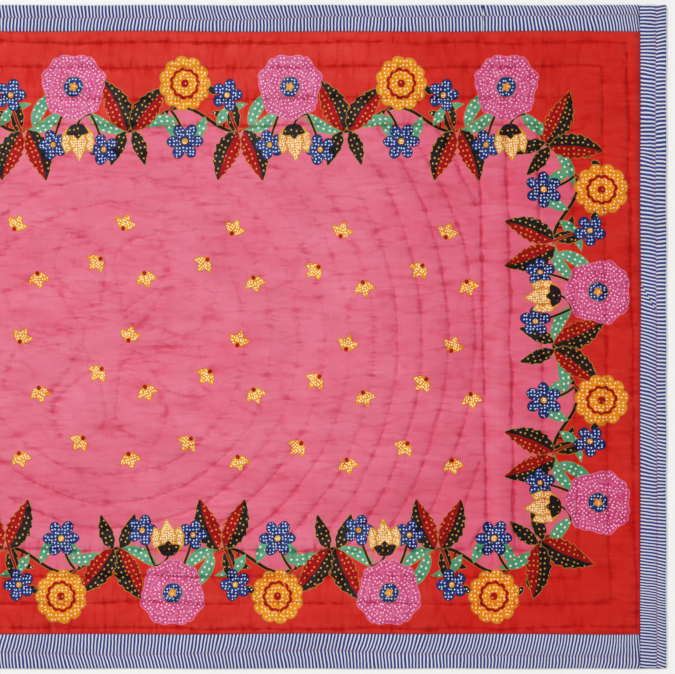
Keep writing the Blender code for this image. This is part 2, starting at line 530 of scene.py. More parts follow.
    def frame(self) -> list[Row]:
        """Returns the rows that run round the panel."""
        rows = []
        for index, (pull, (side, far, near)) in enumerate(zip(self.frame_pulls, self.frame_rows)):
            x, y1, y0 = self.seams.side - side, self.seams.top - far, self.seams.bottom + near
            corners = [(-x, y0), (x, y0), (x, y1), (-x, y1)]
            corners = [(x - self.skew * y, y) for x, y in corners]
            for start, stop in zip(corners, corners[1:] + corners[:1]):
                rows.append(self.handmade(np.array([start, stop]), pull))
                rows[-1].on_border = index < len(self.frame_rows) - 1
        return rows

    def ends(self) -> list[Row]:
        """Returns the straight rows across each end of the panel."""
        y1 = self.seams.top - self.frame_rows[-1][1] - self.row_end
        y0 = self.seams.bottom + self.frame_rows[-1][2] + self.row_end
        places = [side * (self.seams.side - inset) for inset in self.side_rows for side in (-1, 1)]
        lines = [[(x - self.skew * y, y) for y in (y0, y1)] for x in places]
        return [self.handmade(np.array(line), 1.0) for line in lines]

    def nearest(self, points: Array) -> tuple[Array, Array, Array]:
        """Finds the nearest row to each point.

        Args:
            points: The points.

        Returns:
            The distance to the row, the place along it and its pull.
        """
        found = np.array(
            [[i for _, i, _ in self.tree.find_n((x, y, 0), 3)] for x, y in points]
        )
        starts, runs = self.starts[found], self.stops[found] - self.starts[found]
        lengths = np.hypot(runs[..., 0], runs[..., 1])
        offsets = points[:, None, :] - starts
        share = np.clip((offsets * runs).sum(2) / lengths**2, 0, 1)
        apart = offsets - share[..., None] * runs
        gaps = np.hypot(apart[..., 0], apart[..., 1])
        best, pick = gaps.argmin(1), np.arange(len(points))
        index = found[pick, best]
        along = self.runs[index] + (share * lengths)[pick, best]
        return gaps[pick, best], along, self.pulls[index]

    def heights(self, points: Array) -> tuple[Array, ...]:
        """Works out the quilted face.

        Args:
            points: Points of the panel seen from above.

        Returns:
            The height at each point, its distance from the nearest row, its place
            along that row and the row's pull.
        """
        gap, along, pull = self.nearest(points)
        fine = 1 - np.exp(-((gap / self.valley) ** 1.3))
        broad = np.sin(np.clip(gap / (self.spacing / 2), 0, 1) * math.pi / 2)
        risen = 1 - pull * (1 - (0.68 * fine + 0.32 * broad))
        gather = lattice_noise(np.column_stack([along / 0.016, gap / 0.03]), 5)
        risen += 0.10 * gather * np.exp(-gap / 0.014) * np.clip(gap / 0.004, 0, 1)
        risen += 0.05 * lattice_noise(points / 0.055, 7)
        height = self.row_height + (self.pad_height - self.row_height) * risen
        edge = np.minimum(
            self.seams.side - abs(points[:, 0]),
            np.minimum(self.seams.top - points[:, 1], points[:, 1] - self.seams.bottom),
        )
        share = np.sin(np.clip(edge / self.seam_ease, 0, 1) * math.pi / 2)
        return self.seam_height + (height - self.seam_height) * share, gap, along, pull


# Print colours and shapes


@dataclass(frozen=True)
class Dye:
    """One colour of the print, and the spots left in it.

    Attributes:
        cloth: Its sRGB colour.
        spot: The spots' sRGB colour, or nothing for a plain colour.
        pitch: The distance between spots along and across a shape.
        size: A spot's radius as a share of that distance.
        scatter: How irregular the spots are, from 0 to 1.
    """

    cloth: str
    spot: str = ""
    pitch: Pair = (1.0, 1.0)
    size: float = 0.0
    scatter: float = 0.35


class Paint(Enum):
    """The colours that the blocks print, the bare ground's first."""

    BORDER_RED = Dye("D1352D")
    FIELD_PINK = Dye("DE7089")
    ROSE = Dye("CF5B8C", "F3D3E0", (6.2 * MM, 5.8 * MM), 0.21, 0.45)
    BLUSH = Dye("DC8FA6")
    NAVY = Dye("29417F", "DCE2F0", (5.6 * MM, 5.4 * MM), 0.23, 0.45)
    BLACK = Dye("2B2627", "DDA548", (9.0 * MM, 8.0 * MM), 0.17, 0.35)
    BUD_BLACK = Dye("2B2627", "E9E4DC", (5.0 * MM, 7.0 * MM), 0.25, 0.1)
    MADDER = Dye("A50F1B", "E59B38", (9.0 * MM, 8.0 * MM), 0.17, 0.35)
    MARIGOLD = Dye("E39312", "F7E6BE", (6.6 * MM, 6.2 * MM), 0.20, 0.5)
    CREAM = Dye("DE9C3A", "F6E4C0", (3.9 * MM, 3.7 * MM), 0.37, 0.45)
    BUD_ORANGE = Dye("E2981F", "FAEDC8", (4.2 * MM, 4.0 * MM), 0.29, 0.5)
    RUST = Dye("B4562A")
    GREEN = Dye("64A588", "EBE6CE", (10.0 * MM, 8.0 * MM), 0.20, 0.2)
    GOLD = Dye("BE8C3A")
    STEM = Dye("33201F")
    RED_STEM = Dye("A81623")


@dataclass
class Shape:
    """One printed shape.

    Attributes:
        outline: Its closed outline, anticlockwise.
        paint: Its colour.
        spine: The path that its spots follow.
    """

    outline: Array
    paint: Paint
    spine: Array

    def placed(self, origin: Array, turn: float, flip: bool = False) -> "Shape":
        """Sets the shape down on the cloth.

        Args:
            origin: Where its own origin goes.
            turn: How far it turns anticlockwise, in radians.
            flip: Whether it is turned over first.

        Returns:
            The shape in its place.
        """
        spin = np.array([[math.cos(turn), math.sin(turn)], [-math.sin(turn), math.cos(turn)]])
        side = np.array([-1.0 if flip else 1.0, 1.0])
        outline = (self.outline * side) @ spin + origin
        return Shape(
            outline[::-1] if flip else outline, self.paint, (self.spine * side) @ spin + origin
        )


def edged(outline: Array, width: float, edge: Paint, paint: Paint, spine: Array) -> list[Shape]:
    """Returns a shape on top of a larger one, which shows as a line of this width round it."""
    return [Shape(grown(outline, width), edge, spine), Shape(outline, paint, spine)]


def straight_spine(length: float, start: float = 0.0) -> Array:
    """Returns a straight spine up from a start, of this length."""
    return np.array([(0.0, start), (0.0, start + length)])


def round_outline(radius: float, count: int, lobes: int, depth: float) -> Array:
    """Outlines a round, lobed shape about the origin.

    Args:
        radius: How far its lobes reach.
        count: How many points it has.
        lobes: How many lobes it has.
        depth: How far the notches between them reach in, as a share of the radius.

    Returns:
        The outline, anticlockwise.
    """
    turn = np.linspace(0, math.tau, count, endpoint=False)
    reach = radius * (1 - depth + depth * abs(np.cos(lobes * turn / 2)) ** 0.7)
    reach *= 1 + 0.03 * np.sin(2 * turn + lobes)
    return reach[:, None] * np.column_stack([np.cos(turn), np.sin(turn)])


def hand_cut(outline: Array, size: float) -> Array:
    """Returns an outline made a little uneven, as a hand-cut block prints it."""
    drift = lattice_noise(outline / (7 * MM), 31)
    return outline + (grown(outline, size) - outline) * drift[:, None]


class Motif:
    """A printed figure that grows up from its own origin."""

    def shapes(self) -> list[Shape]:
        """Returns its shapes, the lowest first."""
        raise NotImplementedError


@dataclass
class Rosette(Motif):
    """A round open flower: two rings of notched petals round a scalloped disc.

    Attributes:
        radius: How far its outer petals reach.
        petals: How many petals each ring has.
        disc: The disc's radius as a share of the flower's.
    """

    radius: float = 0.052
    petals: int = 7
    disc: float = 0.32

    def petal(self, length: float, width: float) -> Array:
        """Outlines one petal that grows up from the origin.

        Args:
            length: How far its tip is from the origin.
            width: Its greatest width.

        Returns:
            The outline, anticlockwise.
        """
        share = np.linspace(1, -1, 12)
        reach = length * (0.94 + 0.06 * abs(np.sin(math.pi * share)) - 0.16 * share**4)
        rim = np.column_stack([width / 2 * np.sin(share * math.pi / 2), reach])
        foot = np.array([0.0, 0.12 * length])
        sides = [
            bezier(foot, np.array([way * 0.50 * width, 0.45 * length]), end, 4)
            for way, end in ((1, rim[0]), (-1, rim[-1]))
        ]
        return np.concatenate([sides[0][:-1], rim, sides[1][-2:0:-1]])

    def shapes(self) -> list[Shape]:
        """Returns its shapes, the lowest first."""
        made = []
        step = math.tau / self.petals
        for ring, (size, wide) in enumerate(((1.0, 1.02), (0.70, 1.12))):
            length = self.radius * size
            width = 2 * length * math.sin(step / 2) * wide
            for index in range(self.petals):
                reach = length * (1 + 0.05 * math.sin(2.3 * index + ring))
                outline = self.petal(reach, width * (1 + 0.06 * math.cos(3.1 * index)))
                spine = straight_spine(reach)
                turn = (index + ring / 2) * step
                for shape in edged(outline, 1.0 * MM, Paint.BLUSH, Paint.ROSE, spine):
                    made.append(shape.placed(np.zeros(2), turn))
        disc = round_outline(self.radius * self.disc, 42, 6, 0.10)
        star = round_outline(self.radius * self.disc * 0.48, 30, 5, 0.45)
        spine = straight_spine(self.radius, -self.radius / 2)
        made += edged(disc, 1.0 * MM, Paint.GOLD, Paint.NAVY, spine)
        return [*made, Shape(star, Paint.CREAM, spine)]


@dataclass
class Pompom(Motif):
    """A round double flower with a scalloped rim and a dark ring."""

    radius: float = 0.043
    scallops: int = 11

    def shapes(self) -> list[Shape]:
        """Returns its shapes, the lowest first."""
        spine = straight_spine(2 * self.radius, -self.radius)
        rings = (
            (1.04, Paint.GOLD, 88),
            (1.00, Paint.MARIGOLD, 88),
            (0.60, Paint.MADDER, 66),
            (0.48, Paint.MARIGOLD, 55),
            (0.16, Paint.MADDER, 20),
        )
        return [
            Shape(round_outline(self.radius * size, count, self.scallops, 0.13), paint, spine)
            for size, paint, count in rings
        ]


@dataclass
class Daisy(Motif):
    """A small flower with round petals and a pale eye."""

    radius: float = 0.028
    petals: int = 5

    def shapes(self) -> list[Shape]:
        """Returns its shapes, the lowest first."""
        spine = straight_spine(2 * self.radius, -self.radius)
        outline = round_outline(self.radius, 12 * self.petals, self.petals, 0.52)
        return [
            *edged(outline, 0.8 * MM, Paint.STEM, Paint.NAVY, spine),
            Shape(round_outline(self.radius * 0.24, 14, self.petals, 0.1), Paint.STEM, spine),
            Shape(round_outline(self.radius * 0.19, 12, self.petals, 0.1), Paint.CREAM, spine),
        ]


@dataclass
class Leaf(Motif):
    """A leaf along a bent spine, in one colour or two.

    Attributes:
        length: Its length along the spine.
        width: Its greatest width.
        bend: How far the spine turns from base to tip, in radians.
        paint: Its colour, on the left side where there are two.
        other: The colour of its right side.
        edge: The colour of the line round it.
        teeth: How many teeth each edge has.
    """

    length: float
    width: float
    bend: float
    paint: Paint
    other: Paint | None = None
    edge: Paint = Paint.GOLD
    teeth: int = 0

    def spine(self) -> Array:
        """Returns the middle line, up from the origin."""
        count = 4 * self.teeth + 1 if self.teeth else 13
        turn = self.bend * (np.linspace(0, 1, count) - 0.35)
        steps = np.column_stack([-np.sin(turn), np.cos(turn)]) * self.length / (count - 1)
        return np.concatenate([[(0.0, 0.0)], np.cumsum(steps[1:], axis=0)])

    def halves(self, count: int) -> Array:
        """Works out how wide the leaf is.

        Args:
            count: How many points its spine has.

        Returns:
            The half width at each of them.
        """
        share = np.linspace(0, 1, count)
        half = self.width / 2 * np.sin(math.pi * share**0.8) ** 0.9
        tooth = (share * self.teeth + 0.3) % 1
        return np.maximum(half * (1 - 0.22 * tooth * (self.teeth > 0)), 0)

    def shapes(self) -> list[Shape]:
        """Returns its shapes, the lowest first."""
        spine = self.spine()
        half = self.halves(len(spine))
        whole = ribbon(spine, half, half)
        made = edged(whole, 0.9 * MM, self.edge, self.paint, spine)
        if self.other:
            made.append(Shape(ribbon(spine, 0 * half, half), self.other, spine))
        return made


@dataclass
class Tulip(Motif):
    """A cup flower of three pointed petals in a dark cup of sepals."""

    length: float = 0.058
    width: float = 0.030

    def shapes(self) -> list[Shape]:
        """Returns its shapes, the lowest first."""
        made = []
        for turn, size in ((0.50, 0.88), (-0.50, 0.88), (0.0, 1.0)):
            petal = Leaf(self.length * size, self.width, -0.7 * turn, Paint.CREAM, teeth=4)
            made += [shape.placed(np.zeros(2), turn) for shape in petal.shapes()]
        for turn in (0.75, -0.75, 0.0):
            sepal = Leaf(self.length * 0.40, self.width * 0.5, turn, Paint.BLACK, edge=Paint.STEM)
            made += [shape.placed(np.array([0.0, -2 * MM]), turn) for shape in sepal.shapes()]
        return made


@dataclass
class Twig(Motif):
    """A thin twig with small dark buds."""

    length: float = 0.060
    buds: int = 3

    def shapes(self) -> list[Shape]:
        """Returns its shapes, the lowest first."""
        spine = Leaf(self.length, 0, 0.9, Paint.STEM).spine()
        thick = np.linspace(1.6, 0.8, len(spine)) * MM
        made = [Shape(ribbon(spine, thick, thick), Paint.STEM, spine)]
        for index in range(self.buds):
            bud = Leaf(0.021, 0.0095, 0.3, Paint.BUD_BLACK)
            turn = 0.6 if index == 0 else 1.1 - 1.4 * (index % 2)
            made += [shape.placed(spine[-1 - 4 * index], turn) for shape in bud.shapes()]
        return made


@dataclass
class Sprig(Motif):
    """The small three-lobed bud that is scattered over the field.

    Attributes:
        half: The right half of its outline, as degrees from straight up and distances
            from its base in millimetres.
        rise: How far its base lies below its middle.
    """

    half: tuple[Pair, ...] = (
        (0, 27.5), (7, 25.2), (14, 21.4), (21, 18.8), (28, 18.3), (36, 20.0),
        (44, 23.4), (50, 24.4), (57, 21.4), (66, 15.8), (90, 8.5), (145, 3.8),
    )
    rise: float = 14 * MM

    def shapes(self) -> list[Shape]:
        """Returns its shapes, the lowest first."""
        angles, reach = np.array(self.half).T
        angles = np.radians(np.concatenate([90 - angles, 90 + angles[:0:-1]]))
        reach = np.concatenate([reach, reach[:0:-1]]) * 0.93 * MM
        order = np.argsort(angles)
        middle = np.array([0.0, self.rise])
        outline = (reach[:, None] * np.column_stack([np.cos(angles), np.sin(angles)]))[order]
        spine = straight_spine(2 * self.rise, -self.rise)
        dot = round_outline(4.0 * MM, 12, 4, 0.22) - middle * 0.98
        made = edged(outline - middle, 0.6 * MM, Paint.RUST, Paint.BUD_ORANGE, spine)
        return [*made, Shape(dot, Paint.RED_STEM, spine)]


@dataclass(frozen=True)
class Placing:
    """Where a motif stands in one repeat of the garland.

    Attributes:
        motif: What is printed.
        along: How far along the garland its base is, from the repeat's start.
        out: How far outwards of the vine its base is.
        turn: Which way it grows, in degrees clockwise from outwards.
        stem: How far back along the vine its stem starts, or None for no stem.
        flip: Whether it is turned over.
    """

    motif: Motif
    along: float
    out: float
    turn: float
    stem: float | None = None
    flip: bool = False


def garland_repeat() -> list[Placing]:
    """Returns what one repeat of the garland holds, the lowest first."""
    split = {"paint": Paint.MADDER, "other": Paint.BLACK, "teeth": 7}
    green = {"paint": Paint.GREEN}
    dark = {"paint": Paint.BLACK, "teeth": 4}
    leaves = (
        # Kind, length, width, bend, along, turn, flip
        (green, 0.074, 0.019, 1.1, 0.026, 128, False),
        (green, 0.070, 0.018, 1.1, 0.332, -132, True),
        (green, 0.066, 0.018, 1.0, 0.150, 150, False),
        (green, 0.066, 0.018, 1.0, 0.216, -150, True),
        (green, 0.078, 0.020, -0.9, 0.290, 24, False),
        (green, 0.064, 0.018, -1.0, 0.236, 44, False),
        (green, 0.064, 0.018, -0.8, 0.116, 74, False),
        (split, 0.096, 0.046, 0.4, 0.088, -22, False),
        (split, 0.092, 0.044, 0.4, 0.098, 34, True),
        (split, 0.088, 0.042, 0.4, 0.270, 206, False),
        (split, 0.090, 0.042, 0.4, 0.280, 156, True),
        (dark, 0.062, 0.024, 0.3, 0.086, 206, False),
        (dark, 0.060, 0.024, 0.3, 0.098, 158, True),
        (dark, 0.052, 0.022, 0.3, 0.262, 2, False),
    )
    return [
        Placing(Twig(), 0.246, 0.0, -4),
        Placing(Twig(0.050, 2), 0.128, 0.0, 8, flip=True),
        *(
            Placing(Leaf(length, width, bend, **kind), along, 0.0, turn, flip=flip)
            for kind, length, width, bend, along, turn, flip in leaves
        ),
        Placing(Daisy(0.025), 0.050, -0.046, 180, stem=0.022),
        Placing(Daisy(0.024), 0.322, -0.050, 180, stem=-0.020),
        Placing(Daisy(0.030, 6), 0.183, -0.056, 180, stem=0.024),
        Placing(Daisy(0.026), 0.252, 0.058, 0, stem=-0.018),
        Placing(Tulip(), 0.006, -0.030, 176, stem=-0.024),
        Placing(Pompom(), 0.183, 0.040, 0, stem=0.026),
        Placing(Rosette(), 0.000, 0.034, 0, stem=0.030),
    ]


@dataclass
class Garland:
    """A vine that winds round the panel between its red border and its pink field.

    Attributes:
        reach: Half its length along the quilt.
        far: The Y of its far side.
        near: The Y of its near side.
        corner: The radius of its corners.
        waves: How often the vine waves on a long side and on a short side.
        swing: How far it waves to each side of its middle line.
        crowded: How near a corner nothing but leaves grows inwards, in waves.
    """

    reach: float = 0.7325
    far: float = 0.3597
    near: float = -0.3700
    corner: float = 0.075
    waves: tuple[int, int] = (8, 4)
    swing: float = 0.020
    crowded: float = 0.40

    def __post_init__(self) -> None:
        """Draws the middle line, clockwise from the middle of the far left corner."""
        flat = []
        r, x, y1, y0 = self.corner, self.reach, self.far, self.near
        corners = ((x - r, y1 - r), (x - r, y0 + r), (r - x, y0 + r), (r - x, y1 - r))
        for index, (cx, cy) in enumerate(corners):
            turn = np.radians(np.linspace(90, 0, 17) - 90 * index)
            flat.append(np.column_stack([cx + r * np.cos(turn), cy + r * np.sin(turn)]))
        path = np.roll(np.concatenate(flat), 8, axis=0)
        self.path = np.concatenate([path, path[:1]])
        self.runs = arc_lengths(self.path)
        long, short = self.waves
        self.corners = np.cumsum([0, long, short, long, short])
        self.count = int(self.corners[-1])
        marks = self.runs[[0, 17, 34, 51, 68]]
        self.knots = np.interp(np.arange(self.count + 1), self.corners, marks)

    def at(self, wave: Array | float, out: Array | float = 0.0) -> Array:
        """Finds points beside the middle line.

        Args:
            wave: How many waves along it each point is.
            out: How far outwards of it each point is.

        Returns:
            The points.
        """
        wave = np.atleast_1d(np.asarray(wave, float)) % self.count
        run = np.interp(wave, np.arange(self.count + 1), self.knots)
        probe = 6 * MM
        here, ahead, behind = (
            np.column_stack(
                [np.interp((run + d) % self.runs[-1], self.runs, self.path[:, i]) for i in (0, 1)]
            )
            for d in (0.0, probe, -probe)
        )
        way = ahead - behind
        way /= np.hypot(*way.T)[:, None]
        outwards = np.column_stack([-way[:, 1], way[:, 0]])
        return here + outwards * np.broadcast_to(out, wave.shape)[:, None]

    def vine_out(self, wave: Array | float) -> Array:
        """Returns how far outwards the vine is; its crests are at half waves."""
        return -self.swing * np.cos(math.tau * np.asarray(wave, float))

    def vine(self, start: float, stop: float, count: int) -> Array:
        """Returns points along the vine, from one wave number to another."""
        wave = np.linspace(start, stop, count)
        return self.at(wave, self.vine_out(wave))

    def field(self) -> Shape:
        """Returns the pink ground inside the vine."""
        outline = self.vine(0, self.count, 18 * self.count + 1)[:-1][::-1]
        return Shape(outline, Paint.FIELD_PINK, straight_spine(1.0))

    def line(self, path: Array, widths: Pair, dark: bool) -> list[Shape]:
        """Draws a line of the vine, edged in gold.

        Args:
            path: Its points.
            widths: Its half width at either end.
            dark: Whether it is dark, and not red.

        Returns:
            Its shapes, the lowest first.
        """
        half = np.linspace(*widths, len(path))
        paint = Paint.STEM if dark else Paint.RED_STEM
        return edged(ribbon(path, half, half), 0.7 * MM, Paint.GOLD, paint, path)

    def stem(self, placing: Placing, wave: float, base: Array) -> list[Shape]:
        """Draws the stem from the vine to a motif.

        Args:
            placing: The motif.
            wave: How many waves along the garland it stands.
            base: Its base.

        Returns:
            The stem's shapes.
        """
        back = placing.stem / self.runs[-1] * self.count
        start = self.at(wave - back, self.vine_out(wave - back))[0]
        pull = self.at(wave - back / 4, self.vine_out(wave) + placing.out * 0.4)[0]
        return self.line(bezier(start, pull, base, 8), (2.0 * MM, 1.5 * MM), placing.out < 0)

    def shapes(self) -> list[Shape]:
        """Returns the ground, the vine and its flowers and leaves, the lowest first."""
        made = [self.field()]
        repeat = []
        for placing in garland_repeat():
            drawn = placing.motif.shapes()
            uneven = [replace(shape, outline=hand_cut(shape.outline, 0.7 * MM)) for shape in drawn]
            repeat.append((placing, uneven))
        for index in range(self.count):
            made += self.line(self.vine(index, index + 1, 19), (2.3 * MM, 2.6 * MM), index % 2 == 0)
        for index in range(0, self.count, 2):
            for placing, shapes in repeat:
                wave = (index + 1.5 + placing.along / self.runs[-1] * self.count) % self.count
                if placing.out < 0 and abs(self.corners - wave).min() < self.crowded:
                    continue
                out = self.vine_out(wave) + placing.out
                base = self.at(wave, out)[0]
                away = self.at(wave, out + 0.01)[0] - base
                turn = math.atan2(away[1], away[0]) - math.pi / 2 - math.radians(placing.turn)
                if placing.stem is not None:
                    made += self.stem(placing, wave, base)
                made += [shape.placed(base, turn, placing.flip) for shape in shapes]
        return made


@dataclass
class Scatter:
    """The small buds strewn over the field in slanting rows.

    Attributes:
        period: The distance between buds in a row.
        rows: For each row, the X of one bud, the row's Y and the way it points, in
            degrees clockwise from +Y.
        reach: How far from the middle the rows go.
    """

    period: float = 0.180
    reach: float = 0.600
    rows: tuple[tuple[float, float, float], ...] = (
        (0.005, 0.193, 20),
        (-0.048, 0.121, 225),
        (0.040, 0.093, 165),
        (0.014, 0.006, 20),
        (-0.044, -0.064, 225),
        (0.043, -0.097, 165),
        (-0.075, -0.178, 220),
        (0.013, -0.207, 165),
    )

    def shapes(self) -> list[Shape]:
        """Returns the buds' shapes, the lowest first."""
        made = []
        count = math.ceil(self.reach / self.period)
        bud = Sprig().shapes()
        for first, y, turn in self.rows:
            for index in range(-count, count + 1):
                place = np.array([first + index * self.period, y])
                if abs(place[0]) > self.reach:
                    continue
                drift = lattice_noise(place[None] / 0.1, 11)[0]
                place += (2 * MM * drift, -3 * MM * drift)
                # The quilting has drawn the cloth in towards this end, the far rows most
                drawn = (16 if y > -0.08 else 10) * MM
                place[1] -= drawn * min(max(place[0] / 0.40, 0), 1)
                place[0] -= 6 * MM * min(max((place[0] - 0.42) / 0.12, 0), 1)
                angle = -math.radians(turn + 9 * drift)
                made += [shape.placed(place, angle) for shape in bud]
        return made


# Finishes


def new_material(name: str) -> tuple[Material, Tree, Node]:
    """Makes a material.

    Args:
        name: What it is and how it is made.

    Returns:
        The material, its nodes and its shader.
    """
    made = bpy.data.materials.new(name)
    made.use_nodes = True
    return made, made.node_tree, made.node_tree.nodes["Principled BSDF"]


class Finish:
    """A cotton finish in the making.

    Attributes:
        tree: Its nodes.
        shader: Its shader.
        place: The coordinates that it lies on, in metres.
    """

    tree: Tree
    shader: Node
    place: Socket

    def begin(self, name: str, cloth: str = "") -> Material:
        """Starts the material.

        Args:
            name: What it is and how it is made.
            cloth: The UV map that it lies on, where not the Object coordinates.

        Returns:
            The material.
        """
        made, self.tree, self.shader = new_material(name)
        if cloth:
            self.place = self.add("ShaderNodeUVMap", uv_map=cloth)
        else:
            self.place = self.add("ShaderNodeTexCoord", (), "Object")
        return made

    def add(
        self, kind: str, inputs: Sequence | dict = (), out: int | str = 0, **settings: object
    ) -> Socket:
        """Adds a node to the finish as wire does, and returns its output."""
        return wire(self.tree, kind, inputs, out, **settings)

    def calc(self, operation: str, *values: Socket | float) -> Socket:
        """Returns what an operation makes of these values."""
        return self.add(MATH, values, operation=operation)

    def fit(self, *values: Socket | float) -> Socket:
        """Returns the first of three values times the second, plus the third."""
        return self.calc("MULTIPLY_ADD", *values)

    def ramp(self, *values: Socket | float) -> Socket:
        """Returns a value that goes softly over from one range, low and high, to another."""
        return self.add(RANGE, values, interpolation_type="SMOOTHSTEP")

    def noise(self, place: Socket, scale: float, out: int | str = 0, **inputs: float) -> Socket:
        """Returns smooth noise over a place."""
        return self.add(NOISE, {"Vector": place, "Scale": scale, **inputs}, out)

    def spread(self, place: Socket, x: float, y: float, z: float = 1.0) -> Socket:
        """Returns a place scaled along each axis."""
        return self.add("ShaderNodeMapping", {"Vector": place, "Scale": (x, y, z)})

    def attribute(self, name: str) -> Socket:
        """Returns a number that the mesh stores at its points."""
        return self.add("ShaderNodeAttribute", (), "Fac", attribute_name=name)

    def mixed(self, share: Socket, first: Socket | tuple, second: Socket | tuple) -> Socket:
        """Returns a colour between two, the second where the share is 1."""
        return self.add("ShaderNodeMix", {0: share, 6: first, 7: second}, 2, data_type="RGBA")

    def slubs(self) -> Socket:
        """Draws uneven dye: soft clouds, and streaks where a thread is thicker.

        Returns:
            A value round 0.5.
        """
        scales = ((9.0, 9.0, 9.0), (16.0, 330.0, 1.0), (330.0, 16.0, 1.0))
        clouds, long, cross = (
            self.noise(self.spread(self.place, *scale), 1.0, Detail=3.0, Roughness=0.55)
            for scale in scales
        )
        every = self.fit(self.calc("ADD", long, cross), 0.35, clouds)
        return self.calc("SUBTRACT", every, 0.35)

    def woven(self, pitch: float) -> Socket:
        """Draws a plain weave.

        Args:
            pitch: The distance between its lines.

        Returns:
            A value from 0 to 1, high on a thread.
        """
        inputs = {
            "Vector": self.place, "Scale": WAVE / pitch, "Distortion": 1.2, "Detail Scale": 0.35,
        }
        lines = [self.add(BANDS, inputs, "Fac", bands_direction=way) for way in "XY"]
        return self.calc("MULTIPLY", self.calc("ADD", *lines), 0.5)

    def dress(
        self,
        colour: Socket | tuple,
        tone: Socket,
        depth: Socket | None = None,
        normal: Socket | None = None,
    ) -> None:
        """Gives the shader its colour, and what all the cotton shares: no gloss, a soft nap.

        Args:
            colour: The dyed colour.
            tone: What that is multiplied by.
            depth: The gamma that deepens it, which is mostly painted shade, if any.
            normal: Its normal, if it has relief.
        """
        shown = self.add(VECTOR, {0: colour, "Scale": tone}, operation="SCALE")
        if depth:
            shown = self.add("ShaderNodeGamma", (shown, depth))
        self.tree.links.new(shown, self.shader.inputs["Base Color"])
        if normal:
            self.tree.links.new(normal, self.shader.inputs["Normal"])
        for name, value in COTTON.items():
            self.shader.inputs[name].default_value = value


